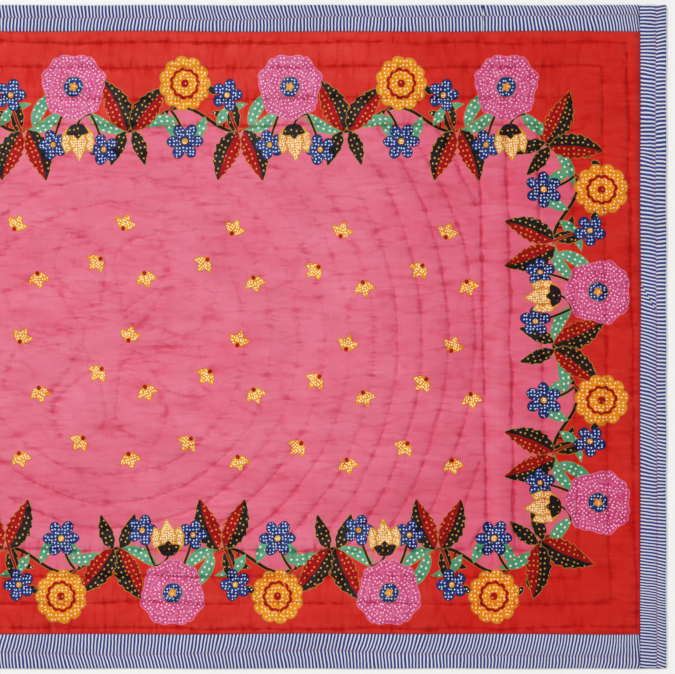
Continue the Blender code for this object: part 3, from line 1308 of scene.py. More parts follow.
@dataclass
class Muslin(Finish):
    """Block-printed cotton muslin, quilted: soft, matt and faintly slubbed.

    Painted shade deepens the colour in creases, in sunk rows and towards the ends, and the
    colour is paler along a line across each end, so the eye reads a thin, washed cloth
    that is drawn down on soft wadding.

    Attributes:
        name: The dye's name.
        dye: The print's colour and spots.
        thread: The spacing of the weave's lines. Real muslin has 0.4 mm, which is too
            fine to show, so its slubs are drawn at four times that.
        crease: The length and the spacing of the fine creases that the quilting pulls.
        crease_shade: How much painted shade a crease gives the colour, added to its gamma.
        row_shade: How much painted shade a sunk row gives it.
        row_half: Half the width of a row's line, and of the dimples in it.
        ragged: How far a row's line strays to either side.
        dimple: The distance between the dimples of a row, every second stitch.
        shaded_ends: How far from the middle the painted shade towards the ends begins, and where it is
            full.
        pale_line_x: How far from the middle a paler line runs across, at either end.
        shore: The Y where the colour is darkest on the near side, and where it stops being so.
    """

    name: str
    dye: Dye
    thread: float = 1.7 * MM
    crease: Pair = (0.070, 0.017)
    crease_shade: float = 0.24
    row_shade: float = 0.62
    row_half: Pair = (3.1 * MM, 4.6 * MM)
    ragged: float = 5.5 * MM
    dimple: float = 21.5 * MM
    shaded_ends: Pair = (0.36, 0.66)
    pale_line_x: float = 0.616
    shore: Pair = (-0.28, -0.12)

    def fading(self, scale: float) -> Socket:
        """Returns a value that comes and goes between 0 and 1, so no line is even."""
        return self.add(RANGE, (self.noise(self.place, scale, Roughness=0.6), 0.34, 0.66))

    def crease_net(self, place: Socket, size: Pair) -> Socket:
        """Draws a net of fine creases, which run one way and join here and there.

        Args:
            place: The coordinates, already wavering.
            size: How long and how far apart the creases are along X and Y.

        Returns:
            A value that is 1 in a crease and 0 away from it.
        """
        inputs = {"Vector": self.spread(place, 1 / size[0], 1 / size[1]), "Scale": 1.0}
        settings = {"voronoi_dimensions": "2D", "feature": "DISTANCE_TO_EDGE"}
        apart = self.add(VORONOI, inputs, "Distance", **settings)
        return self.ramp(apart, 0.0, 0.15, 1.0, 0.0)

    def puckers(self, share: Socket) -> Socket:
        """Draws the small puckers that the stitching leaves.

        Args:
            share: How far they run along Y rather than along X.

        Returns:
            Their height, from 0 to 1 and mostly near 0.5.
        """
        ways = []
        for scale in ((22.0, 84.0), (84.0, 22.0)):
            inputs = {"Vector": self.spread(self.place, *scale), "Scale": 1.0, "Detail": 1.0}
            inputs["Distortion"] = 0.4
            ways.append(self.add(NOISE, inputs, noise_dimensions="2D"))
        return self.add("ShaderNodeMix", {0: share, 2: ways[0], 3: ways[1]})

    def creases(self, share: Socket, puckers: Socket) -> Socket:
        """Draws the fine creases, which are short, soft and broken, and crowd at the rows.

        Args:
            share: How far they run along Y rather than along X.
            puckers: The small puckers' height, whose troughs are creases too.

        Returns:
            A value that is 1 in a deep crease and 0 away from it.
        """
        waver = self.noise(self.place, 34.0, "Color")
        sway = (14 * MM, 14 * MM, 0.0)
        moved = self.add(VECTOR, (waver, sway, self.place), operation="MULTIPLY_ADD")
        long, fine = self.crease
        sizes = ((long, fine), (fine * 1.5, long * 0.8))
        lines = [self.crease_net(moved, size) for size in sizes]
        both = self.add("ShaderNodeMix", {0: share, 2: lines[0], 3: lines[1]})
        net = self.calc("MULTIPLY", both, self.fading(21.0))
        deep = self.fit(net, 0.75, self.ramp(puckers, 0.25, 0.49, 0.75, 0.0))
        near = self.ramp(self.attribute("row_gap"), 0.0, 12 * MM, 1.9, 0.8)
        return self.calc("MULTIPLY", deep, near)

    def shade_and_clouds(self) -> Socket:
        """Darkens the colour with painted shade towards the ends, and varies it.

        Returns:
            What the colour's gamma gains: more towards the ends, as painted shade, and
            towards the near side, less along a line across each end, and a little up and
            down in random clouds that are drawn out along X.
        """
        x, y = (self.add("ShaderNodeSeparateXYZ", (self.place,), axis) for axis in "XY")
        out = self.calc("ABSOLUTE", x)
        pale_line = self.calc("ABSOLUTE", self.calc("SUBTRACT", out, self.pale_line_x))
        clouds = self.noise(self.spread(self.place, 0.5, 1.5), 15.0, Detail=3.0, Roughness=0.7)
        # Painted shade: the colour darkens towards both ends
        gained = self.ramp(out, *self.shaded_ends, 0.0, 0.20)
        for part in (
            self.ramp(pale_line, 2 * MM, 17 * MM, -0.09, 0.0),
            self.ramp(y, *self.shore, 0.07, 0.0),
            self.fit(clouds, 0.60, -0.295),
        ):
            gained = self.calc("ADD", gained, part)
        return gained

    def rows(self) -> Socket:
        """Draws the sunk rows: ragged lines with dimples where the thread pulls hardest.

        Returns:
            A value that is 1 in a stitch hole and 0 away from the rows.
        """
        gap, run, pull = (self.attribute(name) for name in ("row_gap", "row_run", "row_pull"))
        # Off the row the distance is negative, so the line parts in two there
        stray = self.noise(self.place, 58.0, Detail=3.0)
        off = self.fit(stray, 2 * self.ragged, -self.ragged)
        apart = self.calc("ABSOLUTE", self.calc("ADD", gap, off))
        line, dot = (self.ramp(apart, 0.0, reach, 1.0, 0.0) for reach in self.row_half)
        swing = self.fading(27.0)
        turn = self.fit(run, math.tau / self.dimple, swing)
        hole = self.ramp(self.calc("SINE", turn), -0.35, 1.0, 0.0, 1.0)
        strong = self.calc("MULTIPLY", self.calc("POWER", pull, 2.0), line)
        sunk = self.fit(pull, 0.26, 0.06)
        pits = self.calc("MULTIPLY", self.calc("MULTIPLY", hole, dot), sunk)
        both = self.fit(strong, 0.95, pits)
        return self.calc("MULTIPLY", both, self.fit(swing, 0.60, 0.40))

    def spots(self) -> Socket:
        """Draws the spots, which shrink next to the shape's edge so that none is cut off.

        Returns:
            A value that is 1 on a spot and 0 off it.
        """
        place = self.add("ShaderNodeUVMap", uv_map="shape")
        even = self.spread(place, 1 / self.dye.pitch[0], 1 / self.dye.pitch[1])
        inputs = {"Vector": even, "Scale": 1.0, "Randomness": self.dye.scatter}
        apart = self.add(VORONOI, inputs, "Distance", voronoi_dimensions="2D")
        room = self.add(RANGE, (self.attribute("margin"), 0.3 * MM, 1.6 * MM, 0.02, 1.0))
        share = self.calc("DIVIDE", apart, self.calc("MULTIPLY", room, self.dye.size))
        return self.add(RANGE, (share, 0.85, 1.2, 1.0, 0.0))

    def relief(self, row: Socket, crease: Socket, puckers: Socket, weave: Socket) -> Socket:
        """Turns the face's small relief into a normal.

        Args:
            row: How deep the rows are sunk.
            crease: How deep the creases are.
            puckers: The height of the puckers, which flatten away from a row.
            weave: The height of the threads.

        Returns:
            The normal.
        """
        sunken = self.fit(row, 1.4, crease)
        near = self.add(RANGE, (self.attribute("row_gap"), 0.0, 17 * MM, 1.0, 0.3))
        gathers = self.calc("MULTIPLY", puckers, near)
        inputs = {"Strength": 0.6, "Distance": 0.8 * MM, "Height": sunken}
        normal = self.add(BUMP, inputs, invert=True)
        for strength, distance, height in ((0.7, 1.6 * MM, gathers), (0.35, 0.12 * MM, weave)):
            inputs = {"Strength": strength, "Distance": distance, "Height": height}
            normal = self.add(BUMP, {**inputs, "Normal": normal})
        return normal

    def material(self) -> Material:
        """Builds the finish."""
        made = self.begin("block_printed_muslin_" + self.name)
        colour = linear(self.dye.cloth)[:3]
        if self.dye.spot:
            colour = self.mixed(self.spots(), linear(self.dye.cloth), linear(self.dye.spot))
        # How far creases run along Y: little but on the long borders
        share = self.fit(self.attribute("cross"), 0.62, 0.22)
        puckers = self.puckers(share)
        crease, row, weave = self.creases(share, puckers), self.rows(), self.woven(self.thread)
        tone = self.fit(self.slubs(), 0.20, 0.87)
        grain = self.fit(weave, 0.06, tone)
        # Painted shade: creases and sunk rows darken the colour through its gamma
        shade = self.fit(crease, self.crease_shade, 1.0)
        sewn = self.fit(row, self.row_shade, shade)
        deep = self.calc("ADD", sewn, self.shade_and_clouds())
        self.dress(colour, grain, deep, self.relief(row, crease, puckers, weave))
        return made


@dataclass
class StripedCotton(Finish):
    """Block-printed cotton for the edging: fine blue stripes on an off-white ground.

    The stripes waver and bend at the sewing, so the eye reads a soft folded strip and
    not a ruled line.

    Attributes:
        ground: The sRGB colour between the stripes.
        stripe: The sRGB colour of the stripes.
        bleed: The sRGB colour that the thread has run into the cloth beside it.
        pitch: The distance from one stripe to the next.
        share: How much of that distance is blue.
        blur: How soft a stripe's edge is, as a share of the pitch.
        thread: The spacing of the weave's lines, drawn coarse as in the muslin.
    """

    ground: str = "D9D6DC"
    stripe: str = "2D3D7E"
    bleed: str = "B9708F"
    pitch: float = 5.6 * MM
    share: float = 0.60
    blur: float = 0.06
    thread: float = 1.7 * MM

    def stripes(self) -> Socket:
        """Draws the stripes, which break where two lengths of cloth are joined.

        Returns:
            A value that is 1 on a stripe and 0 off it.
        """
        waver = self.add(NOISE, {"Vector": self.place, "Scale": 42.0}, noise_dimensions="2D")
        along = self.add("ShaderNodeSeparateXYZ", (self.place,))
        shift = self.fit(waver, 2.6 * MM, along)
        count = self.calc("DIVIDE", shift, self.pitch)
        beyond = self.calc("GREATER_THAN", self.attribute("join"), 0.0)
        broken = self.fit(beyond, 0.45, count)
        away = self.calc("ABSOLUTE", self.calc("SUBTRACT", self.calc("FRACT", broken), 0.5))
        half = self.share / 2
        return self.ramp(away, half - self.blur, half + self.blur, 1.0, 0.0)

    def material(self) -> Material:
        """Builds the finish."""
        made = self.begin("block_printed_striped_cotton", "cloth")
        colour = self.mixed(self.stripes(), linear(self.ground), linear(self.stripe))
        gap = self.attribute("row_gap")
        stained = self.ramp(gap, 0.3 * MM, 3.4 * MM, 0.16, 0.0)
        tone = self.fit(self.slubs(), 0.30, 0.85)
        # Painted shade: the cloth is drawn in at the sewing and at the join, and its colour is darkened
        # there
        sewn = self.ramp(gap, 0.0, 2.6 * MM, 1.16, 1.0)
        seam = self.calc("ABSOLUTE", self.attribute("join"))
        depth = self.calc("ADD", sewn, self.ramp(seam, 0.0, 0.9 * MM, 0.55, 0.0))
        inputs = {"Strength": 0.4, "Distance": 0.15 * MM, "Height": self.woven(self.thread)}
        run_in = self.mixed(stained, colour, linear(self.bleed))
        self.dress(run_in, tone, depth, self.add(BUMP, inputs))
        return made


@dataclass
class SewingThread(Finish):
    """Spun cotton thread: matt, with the twist of its plies, so it never glints.

    Attributes:
        name: What it sews.
        colour: Its sRGB colour, dyed to match the cloth.
        twist: The distance between its plies, drawn at twice the real size to show.
    """

    name: str
    colour: str
    twist: float = 0.9 * MM

    def material(self) -> Material:
        """Builds the finish."""
        made = self.begin("spun_cotton_thread_" + self.name)
        inputs = {"Vector": self.place, "Scale": WAVE / self.twist, "Distortion": 0.4}
        twist = self.add(BANDS, inputs, "Fac", bands_direction="DIAGONAL")
        self.dress(linear(self.colour)[:3], self.fit(twist, 0.25, 0.80))
        return made


# Pieces


def new_object(name: str, data: bpy.types.ID) -> Object:
    """Puts a mesh, a lamp or a camera in the scene as an object at the origin.

    Args:
        name: The object's name.
        data: What it shows.

    Returns:
        The object.
    """
    made = bpy.data.objects.new(name, data)
    bpy.context.scene.collection.objects.link(made)
    return made


def set_attribute(mesh: Mesh, name: str, values: Array) -> None:
    """Stores one number for each point of a mesh."""
    layer = mesh.attributes.new(name, "FLOAT", "POINT")
    layer.data.foreach_set("value", values.astype(np.float32))


@dataclass
class Panel:
    """The printed and quilted panel.

    Attributes:
        seams: Where it ends.
        quilting: Its stitched rows.
        coarse: The distance between points away from the print and the rows.
        fine: The distance between points under the print.
        shoulders: How far beside a row further points lie.
        clear: How close a spare point may be to a line of the print.
        row_room: How far from a row the coarse and the fine spare points stay.
        cell: The size of the cells that keep one spare point each.
        rim_step: The distance between points of its rim.
        under_step: The distance between points of its underside.
        long_border: How far inside the long seams creases run across them, and over what
            distance they turn.
    """

    seams: Seams
    quilting: Quilting
    coarse: float = 10.5 * MM
    fine: float = 5.6 * MM
    shoulders: tuple[float, ...] = (2.6 * MM, 7 * MM)
    clear: float = 2.0 * MM
    row_room: Pair = (10 * MM, 4 * MM)
    cell: float = 1.8 * MM
    rim_step: float = 9 * MM
    under_step: float = 22 * MM
    long_border: Pair = (0.17, 0.03)

    def hexagons(self, step: float, low: tuple, high: tuple) -> Array:
        """Fills a rectangle with a triangular net of points.

        Args:
            step: The distance between them.
            low: Its near left corner.
            high: Its far right corner.

        Returns:
            The points.
        """
        xs = np.arange(low[0] + step, high[0] - step / 2, step)
        ys = np.arange(low[1] + step, high[1] - step / 2, step * math.sqrt(0.75))
        grid = np.stack(np.meshgrid(xs, ys), axis=-1)
        grid[1::2, :, 0] += step / 2
        return grid.reshape(-1, 2)

    def spare_points(self, rim: Array, printed: Array) -> Array:
        """Chooses the points that only carry relief, clear of the print's lines.

        Args:
            rim: The panel's outline.
            printed: The points of the print's lines.

        Returns:
            The points.
        """
        beside = []
        for row in self.quilting.rows:
            across = sideways(row.path)
            for reach in self.shoulders:
                beside += [row.path + across * reach, row.path - across * reach]
        low, high = rim.min(0), rim.max(0)
        near_print, near_row = finder(printed), finder(self.quilting.starts)
        kept = [p for p in np.concatenate(beside) if near_print(p) > self.clear]
        for p in self.hexagons(self.coarse, low, high):
            if near_print(p) > self.fine and near_row(p) > self.row_room[0]:
                kept.append(p)
        for p in self.hexagons(self.fine, low, high):
            if self.clear < near_print(p) <= 2 * self.fine and near_row(p) > self.row_room[1]:
                kept.append(p)
        kept = np.array(kept)
        inside = (kept > low + self.clear * 1.5).all(1) & (kept < high - self.clear * 1.5).all(1)
        kept = kept[inside]
        cells = np.round(kept / self.cell).astype(int)
        return kept[np.unique(cells, axis=0, return_index=True)[1]]

    def topmost(self, places: Array, shapes: list[Shape]) -> Array:
        """Finds the topmost shape at each place.

        Args:
            places: The places.
            shapes: The print, the lowest first.

        Returns:
            Each shape's number, counted from 1, or 0 for the bare ground.
        """
        order = np.argsort(places[:, 0])
        xs = places[order, 0]
        top = np.zeros(len(places), int)
        for number, shape in enumerate(shapes, 1):
            low, high = shape.outline.min(0), shape.outline.max(0)
            first, last = np.searchsorted(xs, (low[0], high[0]))
            near = order[first:last]
            near = near[(places[near, 1] > low[1]) & (places[near, 1] < high[1])]
            top[near[within(places[near], shape.outline)]] = number
        return top

    def sides(self, shapes: list[Shape]) -> tuple[Array, list[tuple[int, int]]]:
        """Finds the sides of the print's shapes that no later shape hides.

        Args:
            shapes: The print, the lowest first.

        Returns:
            Their points, and the pairs of points that each side joins.
        """
        counts = [len(shape.outline) for shape in shapes]
        cover = self.topmost(np.concatenate([shape.outline for shape in shapes]), shapes)
        owner = np.repeat(np.arange(1, len(shapes) + 1), counts)
        hidden = np.split(cover > owner, np.cumsum(counts))
        points, pairs, total = [], [], 0
        for shape, lost in zip(shapes, hidden):
            seen = ~(lost & np.roll(lost, 1) & np.roll(lost, -1))
            number = total + np.cumsum(seen) - 1
            both = seen & np.roll(seen, -1)
            pairs += zip(number[both].tolist(), np.roll(number, -1)[both].tolist())
            points.append(shape.outline[seen])
            total += int(seen.sum())
        return np.concatenate(points), pairs

    def face_net(self, rim: Array, shapes: list[Shape]) -> tuple:
        """Triangulates the printed face.

        Args:
            rim: The panel's outline.
            shapes: The print, the lowest first.

        Returns:
            The points, the triangles and, for each triangle, the number of the topmost
            shape there, counted from 1, or 0 for the bare ground.
        """
        printed, pairs = self.sides(shapes)
        points = [rim, printed]
        edges = [(i + len(rim), j + len(rim)) for i, j in pairs]
        total = len(rim) + len(printed)
        for row in self.quilting.rows:
            points.append(row.path)
            edges += [(i, i + 1) for i in range(total, total + len(row.path) - 1)]
            total += len(row.path)
        points.append(self.spare_points(rim, printed))
        every = [Vector(point) for point in np.concatenate(points)]
        loop = [list(range(len(rim)))]
        flat, _, tris, _, _, _ = delaunay_2d_cdt(every, edges, loop, 1, 0.02 * MM)
        flat, tris = np.array([tuple(p) for p in flat]), np.array(tris)
        return flat, tris, self.topmost(flat[tris].mean(1), shapes)

    def under_net(self, rim: Array) -> tuple[Array, Array]:
        """Triangulates the plain underside.

        Args:
            rim: The panel's outline.

        Returns:
            Its points and its triangles.
        """
        low, high = rim.min(0), rim.max(0)
        spare = self.hexagons(self.under_step, low, high)
        rows = [row.path[::2] for row in self.quilting.rows]
        every = np.concatenate([rim, spare, *rows])
        inside = ((every > low + self.clear) & (every < high - self.clear)).all(1)
        inside[: len(rim)] = True
        every = [Vector(point) for point in every[inside]]
        flat, _, tris, _, _, _ = delaunay_2d_cdt(every, [], [list(range(len(rim)))], 1, 0.5 * MM)
        return np.array([tuple(p) for p in flat]), np.array(tris)

    def margins(self, points: Array, tris: Array, paints: Array) -> Array:
        """Measures from each point to the nearest change of colour.

        Args:
            points: The face's points.
            tris: Its triangles.
            paints: Each triangle's colour, by number.

        Returns:
            The distances.
        """
        sides = np.sort(tris[:, [0, 1, 1, 2, 2, 0]].reshape(-1, 2), axis=1)
        owners = np.repeat(paints, 3)
        order = np.lexsort((sides[:, 1], sides[:, 0]))
        sides, owners = sides[order], owners[order]
        same = (sides[1:] == sides[:-1]).all(1)
        changes = same & (owners[1:] != owners[:-1])
        near_change = finder(points[np.unique(sides[1:][changes])])
        return np.array([near_change(place) for place in points])

    def shape_map(self, mesh: Mesh, corners: Array, top: Array, shapes: list[Shape]) -> None:
        """Writes the UV map that gives each corner its place along and across its shape.

        Args:
            mesh: The panel's mesh.
            corners: The corners of each triangle of its face.
            top: The number of each triangle's shape, counted from 1.
            shapes: The print.
        """
        places = np.zeros((len(mesh.loops), 2), np.float32)
        for index in np.unique(top):
            if index == 0 or not shapes[index - 1].paint.value.spot:
                continue
            faces = np.flatnonzero(top == index)
            found = spine_places(corners[faces].reshape(-1, 2), shapes[index - 1].spine)
            loops = (faces[:, None] * 3 + np.arange(3)).reshape(-1)
            places[loops] = found + 0.013 * (index % 50)
        layer = mesh.uv_layers.new(name="shape")
        layer.data.foreach_set("uv", places.reshape(-1))

    def build(self) -> Object:
        """Builds the panel.

        Returns:
            The finished object.
        """
        rim = self.seams.panel_rim(self.rim_step)
        shapes = Garland().shapes() + Scatter().shapes()
        face, tris, top = self.face_net(rim, shapes)
        under, under_tris = self.under_net(rim)
        height, gap, along, pull = self.quilting.heights(face)
        under_gap = self.quilting.nearest(under)[0]
        under_height = 0.7 * MM * np.exp(-((under_gap / (4 * MM)) ** 2))
        under_height[: len(rim)] = 0.0
        count, edge = len(face), len(rim)
        walls = []
        for i in range(edge):
            j = (i + 1) % edge
            walls += [(i, count + i, count + j), (i, count + j, j)]
        flat = np.concatenate([face, under])
        points = np.column_stack([flat, np.concatenate([height, under_height])])
        every = np.concatenate([tris, under_tris[:, ::-1] + count, walls])
        mesh = bpy.data.meshes.new("quilted_panel_cloth")
        mesh.from_pydata(points.tolist(), [], every.tolist())
        paints = list(Paint)
        inks = np.array([0] + [paints.index(s.paint) for s in shapes])
        ink = np.concatenate([inks[top], np.zeros(len(every) - len(tris), int)])
        for paint in paints:
            mesh.materials.append(Muslin(paint.name.lower(), paint.value).material())
        mesh.polygons.foreach_set("material_index", ink.astype(np.int32))
        spread = np.ones(len(points))
        spread[:count] = self.margins(face, tris, inks[top])
        set_attribute(mesh, "margin", spread)
        set_attribute(mesh, "row_gap", np.concatenate([gap, under_gap]))
        set_attribute(mesh, "row_run", np.concatenate([along, 0 * under_gap]))
        set_attribute(mesh, "row_pull", np.concatenate([pull, 0 * under_gap]))
        x, y = points[:, 0], points[:, 1]
        wide, turning = self.long_border
        out_y = np.maximum(y - self.seams.top, self.seams.bottom - y) + wide
        out_x = abs(x) - self.seams.side + wide
        set_attribute(mesh, "cross", np.clip((out_y - np.maximum(out_x, 0)) / turning, 0, 1))
        self.shape_map(mesh, face[tris], top, shapes)
        mesh.shade_smooth()
        made = new_object("quilted_panel_cloth", mesh)
        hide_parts("quilted_panel")
        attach(made, "root")
        return made


class Side(Enum):
    """The side of the quilt that a band is on."""

    TOP = "top"
    BOTTOM = "bottom"
    RIGHT = "right"
    LEFT = "left"


@dataclass
class Band:
    """One edging band: folded striped cotton sewn through along its middle.

    Attributes:
        seams: Where it lies.
        side: Which side it is on.
        step: The distance between its points along its length.
        stitch_in: How far inside the outer edge the sewing runs. This and the leans are
            evenly spread from the band's start to its end.
        inner_lean: How far the stripes lean just inside the sewing.
        outer_lean: How far they lean just outside it.
        ease: How far from the sewing that lean fades away.
        density: How close the stripes lie, as shares of their usual closeness, evenly
            spread along the band too.
        stretch: The outer part's share of the inner part's cloth.
        gather: How much cloth is crowded in at the far end.
        bow: How far the stripes bow outside the sewing near the far end.
        twist: What is added to the inner lean at the very end.
        join: Two points on the seam between its two lengths of cloth.
    """

    seams: Seams
    side: Side
    step: float = 5 * MM
    stitch_in: tuple[float, ...] = (21 * MM,)
    inner_lean: tuple[float, ...] = (0.0,)
    outer_lean: tuple[float, ...] = (0.0,)
    ease: float = 38 * MM
    density: tuple[float, ...] = (1.0,)
    stretch: float = 1.0
    gather: float = 0.0
    bow: float = 0.0
    twist: float = 0.0
    join: tuple[Pair, Pair] = ((-2.0, -1.0), (-2.0, 1.0))

    @property
    def node(self) -> str:
        """The solid that it stands for."""
        return "edging_" + self.side.value

    @property
    def upright(self) -> bool:
        """Whether the band runs along Y."""
        return self.side in (Side.RIGHT, Side.LEFT)

    @property
    def sign(self) -> int:
        """Which way is outwards."""
        return 1 if self.side in (Side.TOP, Side.RIGHT) else -1

    @property
    def width(self) -> float:
        """Its width across."""
        widths = {Side.TOP: self.seams.top_band, Side.BOTTOM: self.seams.bottom_band}
        return widths.get(self.side, self.seams.side_band)

    @property
    def length(self) -> float:
        """Its length."""
        return self.seams.width if self.upright else 2 * self.seams.side - SEAM_GAP

    def edges(self, along: Array) -> tuple[Array, Array]:
        """Finds its two long edges.

        Args:
            along: Shares of its length.

        Returns:
            The inner and the outer edge, as points.
        """
        seams, gap = self.seams, SEAM_GAP / 2
        if self.upright:
            y = (along - 0.5) * seams.width
            inner = self.sign * (seams.side_seam(y) + gap)
            outer = self.sign * (seams.length / 2 - seams.rim_inset(along, 2 + self.sign))
            return np.column_stack([inner, y]), np.column_stack([outer, y])
        x = (2 * along - 1) * (seams.side - gap)
        inner_y = seams.long_seam(x, self.sign > 0) + self.sign * gap
        outer_y = self.sign * (seams.width / 2 - seams.rim_inset(along, self.sign))
        inner_x = (2 * along - 1) * (seams.side_seam(inner_y) - gap)
        outer_x = (2 * along - 1) * (seams.side_seam(outer_y) - gap)
        return np.column_stack([inner_x, inner_y]), np.column_stack([outer_x, outer_y])

    def spread(self, values: tuple[float, ...], share: Array) -> Array:
        """Returns what these values, evenly spread along the band, come to at shares of it."""
        return np.interp(share, np.linspace(0, 1, len(values)), values)

    def section(self, sew: Array) -> tuple[Array, Array]:
        """Works out the band's cross sections.

        Args:
            sew: How far from the seam the sewing runs, at each place along the band.

        Returns:
            For each section, the places across from the seam outwards, and the heights
            that they all share.
        """
        table = (
            # share of the sewing's place, share of the width, further on, height
            (0.0, 0.0, 0.0, 2.6),
            (0.0, 0.0, 0.8, 3.4),
            (0.0, 0.0, 2.5, 4.2),
            (0.35, 0.0, 0.0, 4.7),
            (0.70, 0.0, 0.0, 4.5),
            (1.0, 0.0, -3.0, 4.0),
            (1.0, 0.0, -1.0, 3.3),
            (1.0, 0.0, 0.0, 3.1),
            (1.0, 0.0, 1.0, 3.3),
            (1.0, 0.0, 3.0, 3.9),
            (0.5, 0.5, 0.0, 4.4),
            (0.0, 1.0, -4.0, 4.2),
            (0.0, 1.0, -1.6, 3.6),
            (0.0, 1.0, -0.5, 2.9),
            (0.0, 1.0, 0.0, 2.0),
        )
        of_sew, of_width, further, heights = np.array(table).T
        return of_sew * sew[:, None] + of_width * self.width + further * MM, heights * MM

    def build(self, finish: Material) -> Object:
        """Builds the band.

        Args:
            finish: Its material.

        Returns:
            The finished object.
        """
        along = np.linspace(0, 1, round(self.length / self.step) + 1)
        inner, outer = self.edges(along)
        sew = self.width - self.spread(self.stitch_in, along)
        cross, heights = self.section(sew)
        share = cross / self.width
        flat = inner[:, None, :] + (outer - inner)[:, None, :] * share[..., None]
        runs = np.repeat(along[:, None] * self.length, len(heights), 1)
        apart = cross - sew[:, None]
        seed = 21 + list(Side).index(self.side)
        pucker = lattice_noise(np.column_stack([runs.ravel() / 0.011, cross.ravel() / 0.03]), seed)
        near = np.exp(-abs(apart) / (7 * MM)) * np.clip(abs(apart) / (1.5 * MM), 0, 1)
        height = heights[None] * (1 + 0.13 * pucker.reshape(runs.shape) * near)
        ends = np.clip(np.minimum(runs, self.length - runs) / (4 * MM), 0, 1)
        height = 1.4 * MM + (height - 1.4 * MM) * np.sin(ends * math.pi / 2)
        cloth = self.cloth_map(runs, cross, apart, seed)
        return self.closed(flat, height, cloth, apart, finish)

    def cloth_map(
        self, runs: Array, cross: Array, apart: Array, seed: int
    ) -> Array:
        """Lays the striped cloth on the band, kinked where it is sewn through.

        Args:
            runs: Each point's place along the band.
            cross: Its place across, from the seam outwards.
            apart: How far outside the sewing it is.
            seed: Which unevenness.

        Returns:
            The place on the cloth of each point, first as the inner part of the band
            has it and then as the outer part does.
        """
        even = np.column_stack([runs.ravel() / 0.075, 0 * runs.ravel() + seed])
        sway = lattice_noise(even, seed).reshape(runs.shape)
        drift = lattice_noise(even * (3.1, 1.0), seed + 9).reshape(runs.shape)
        share = runs / self.length
        leans = [
            self.spread(values, share) + 0.13 * sway + 0.06 * drift
            for values in (self.inner_lean, self.outer_lean)
        ]
        eased = np.sign(apart) * self.ease * (1 - np.exp(-abs(apart) / self.ease))
        bow = self.bow * np.clip(share - 0.8, 0, 1) * apart**2
        tight = np.clip((runs - self.length + 0.075) / 0.075, 0, 1) ** 2
        inner = runs + (leans[0] + self.twist * tight) * eased
        outer = runs * self.stretch + leans[1] * eased + bow
        marks = np.linspace(0, self.length, 201)
        used = np.cumsum(self.spread(self.density, marks / self.length)) * marks[1]
        packed = tight * self.gather + np.interp(runs, marks, used) - runs
        return np.stack(
            [np.stack([part + packed, cross], axis=-1) for part in (inner, outer)], axis=2
        )

    def joined(self, flat: Array, apart: Array) -> Array:
        """Measures from the seam between the band's two lengths of cloth.

        Args:
            flat: Points seen from above.
            apart: How far outside the sewing each one is.

        Returns:
            How far each point lies past the seam, which on an upright band ends at the
            sewing.
        """
        (x0, y0), (x1, y1) = self.join
        span = math.hypot(x1 - x0, y1 - y0)
        past = ((flat[..., 0] - x0) * (y1 - y0) - (flat[..., 1] - y0) * (x1 - x0)) / span
        return np.minimum(past, -apart) if self.upright else past

    def closed(
        self,
        flat: Array,
        height: Array,
        cloth: Array,
        apart: Array,
        finish: Material,
    ) -> Object:
        """Closes a sheet of points into the band's solid form.

        Args:
            flat: Its points seen from above, by place along and across.
            height: Their heights.
            cloth: Their places on the striped cloth, inside and outside the sewing.
            apart: How far outside the sewing they are.
            finish: The band's material.

        Returns:
            The finished object.
        """
        rows, columns = height.shape
        top = np.concatenate([flat, height[..., None]], axis=-1).reshape(-1, 3)
        low = top * (1, 1, 0)
        number = np.arange(rows * columns).reshape(rows, columns)
        quads = np.stack(
            [number[:-1, :-1], number[:-1, 1:], number[1:, 1:], number[1:, :-1]], axis=-1
        ).reshape(-1, 4)
        outside = np.tile(abs(apart[0]).argmin() <= np.arange(columns - 1), rows - 1)
        loop = np.concatenate([number[:, 0], number[-1, 1:], number[-2::-1, -1], number[0, -2:0:-1]])
        after = np.roll(loop, -1)
        walls = np.column_stack([loop, after, after + len(top), loop + len(top)])
        a, b, c = (top[quads[0, i]] for i in (0, 1, 2))
        if np.cross(b - a, c - b)[2] < 0:
            quads, walls = quads[:, ::-1], walls[:, [0, 3, 2, 1]]
        under = quads[:, ::-1] + len(top)
        mesh = bpy.data.meshes.new(self.node + "_cloth")
        faces = np.concatenate([quads, under, walls])
        mesh.from_pydata(np.concatenate([top, low]).tolist(), [], faces.tolist())
        mesh.materials.append(finish)
        corners = np.zeros(len(mesh.loops), np.int32)
        mesh.loops.foreach_get("vertex_index", corners)
        part = np.concatenate([outside, outside, np.full(len(walls), True)]).astype(int)
        places = np.tile(cloth.reshape(-1, 2, 2), (2, 1, 1))[corners, np.repeat(part, 4)]
        layer = mesh.uv_layers.new(name="cloth")
        layer.data.foreach_set("uv", places.astype(np.float32).reshape(-1))
        set_attribute(mesh, "row_gap", np.tile(abs(apart).reshape(-1), 2))
        set_attribute(mesh, "join", np.tile(self.joined(flat, apart).reshape(-1), 2))
        mesh.shade_smooth()
        made = new_object(mesh.name, mesh)
        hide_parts(self.node)
        self.width
        self.length
        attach(made, "root")
        return made

    def sewing(self) -> Array:
        """Returns the line of sewing along the band, as points in space."""
        inset = 6 * MM / self.length
        along = np.linspace(inset, 1 - inset, round(self.length / (6 * MM)))
        inner, outer = self.edges(along)
        share = 1 - self.spread(self.stitch_in, along) / self.width
        flat = inner + (outer - inner) * share[:, None]
        return np.column_stack([flat, np.full(len(flat), 3.2 * MM)])


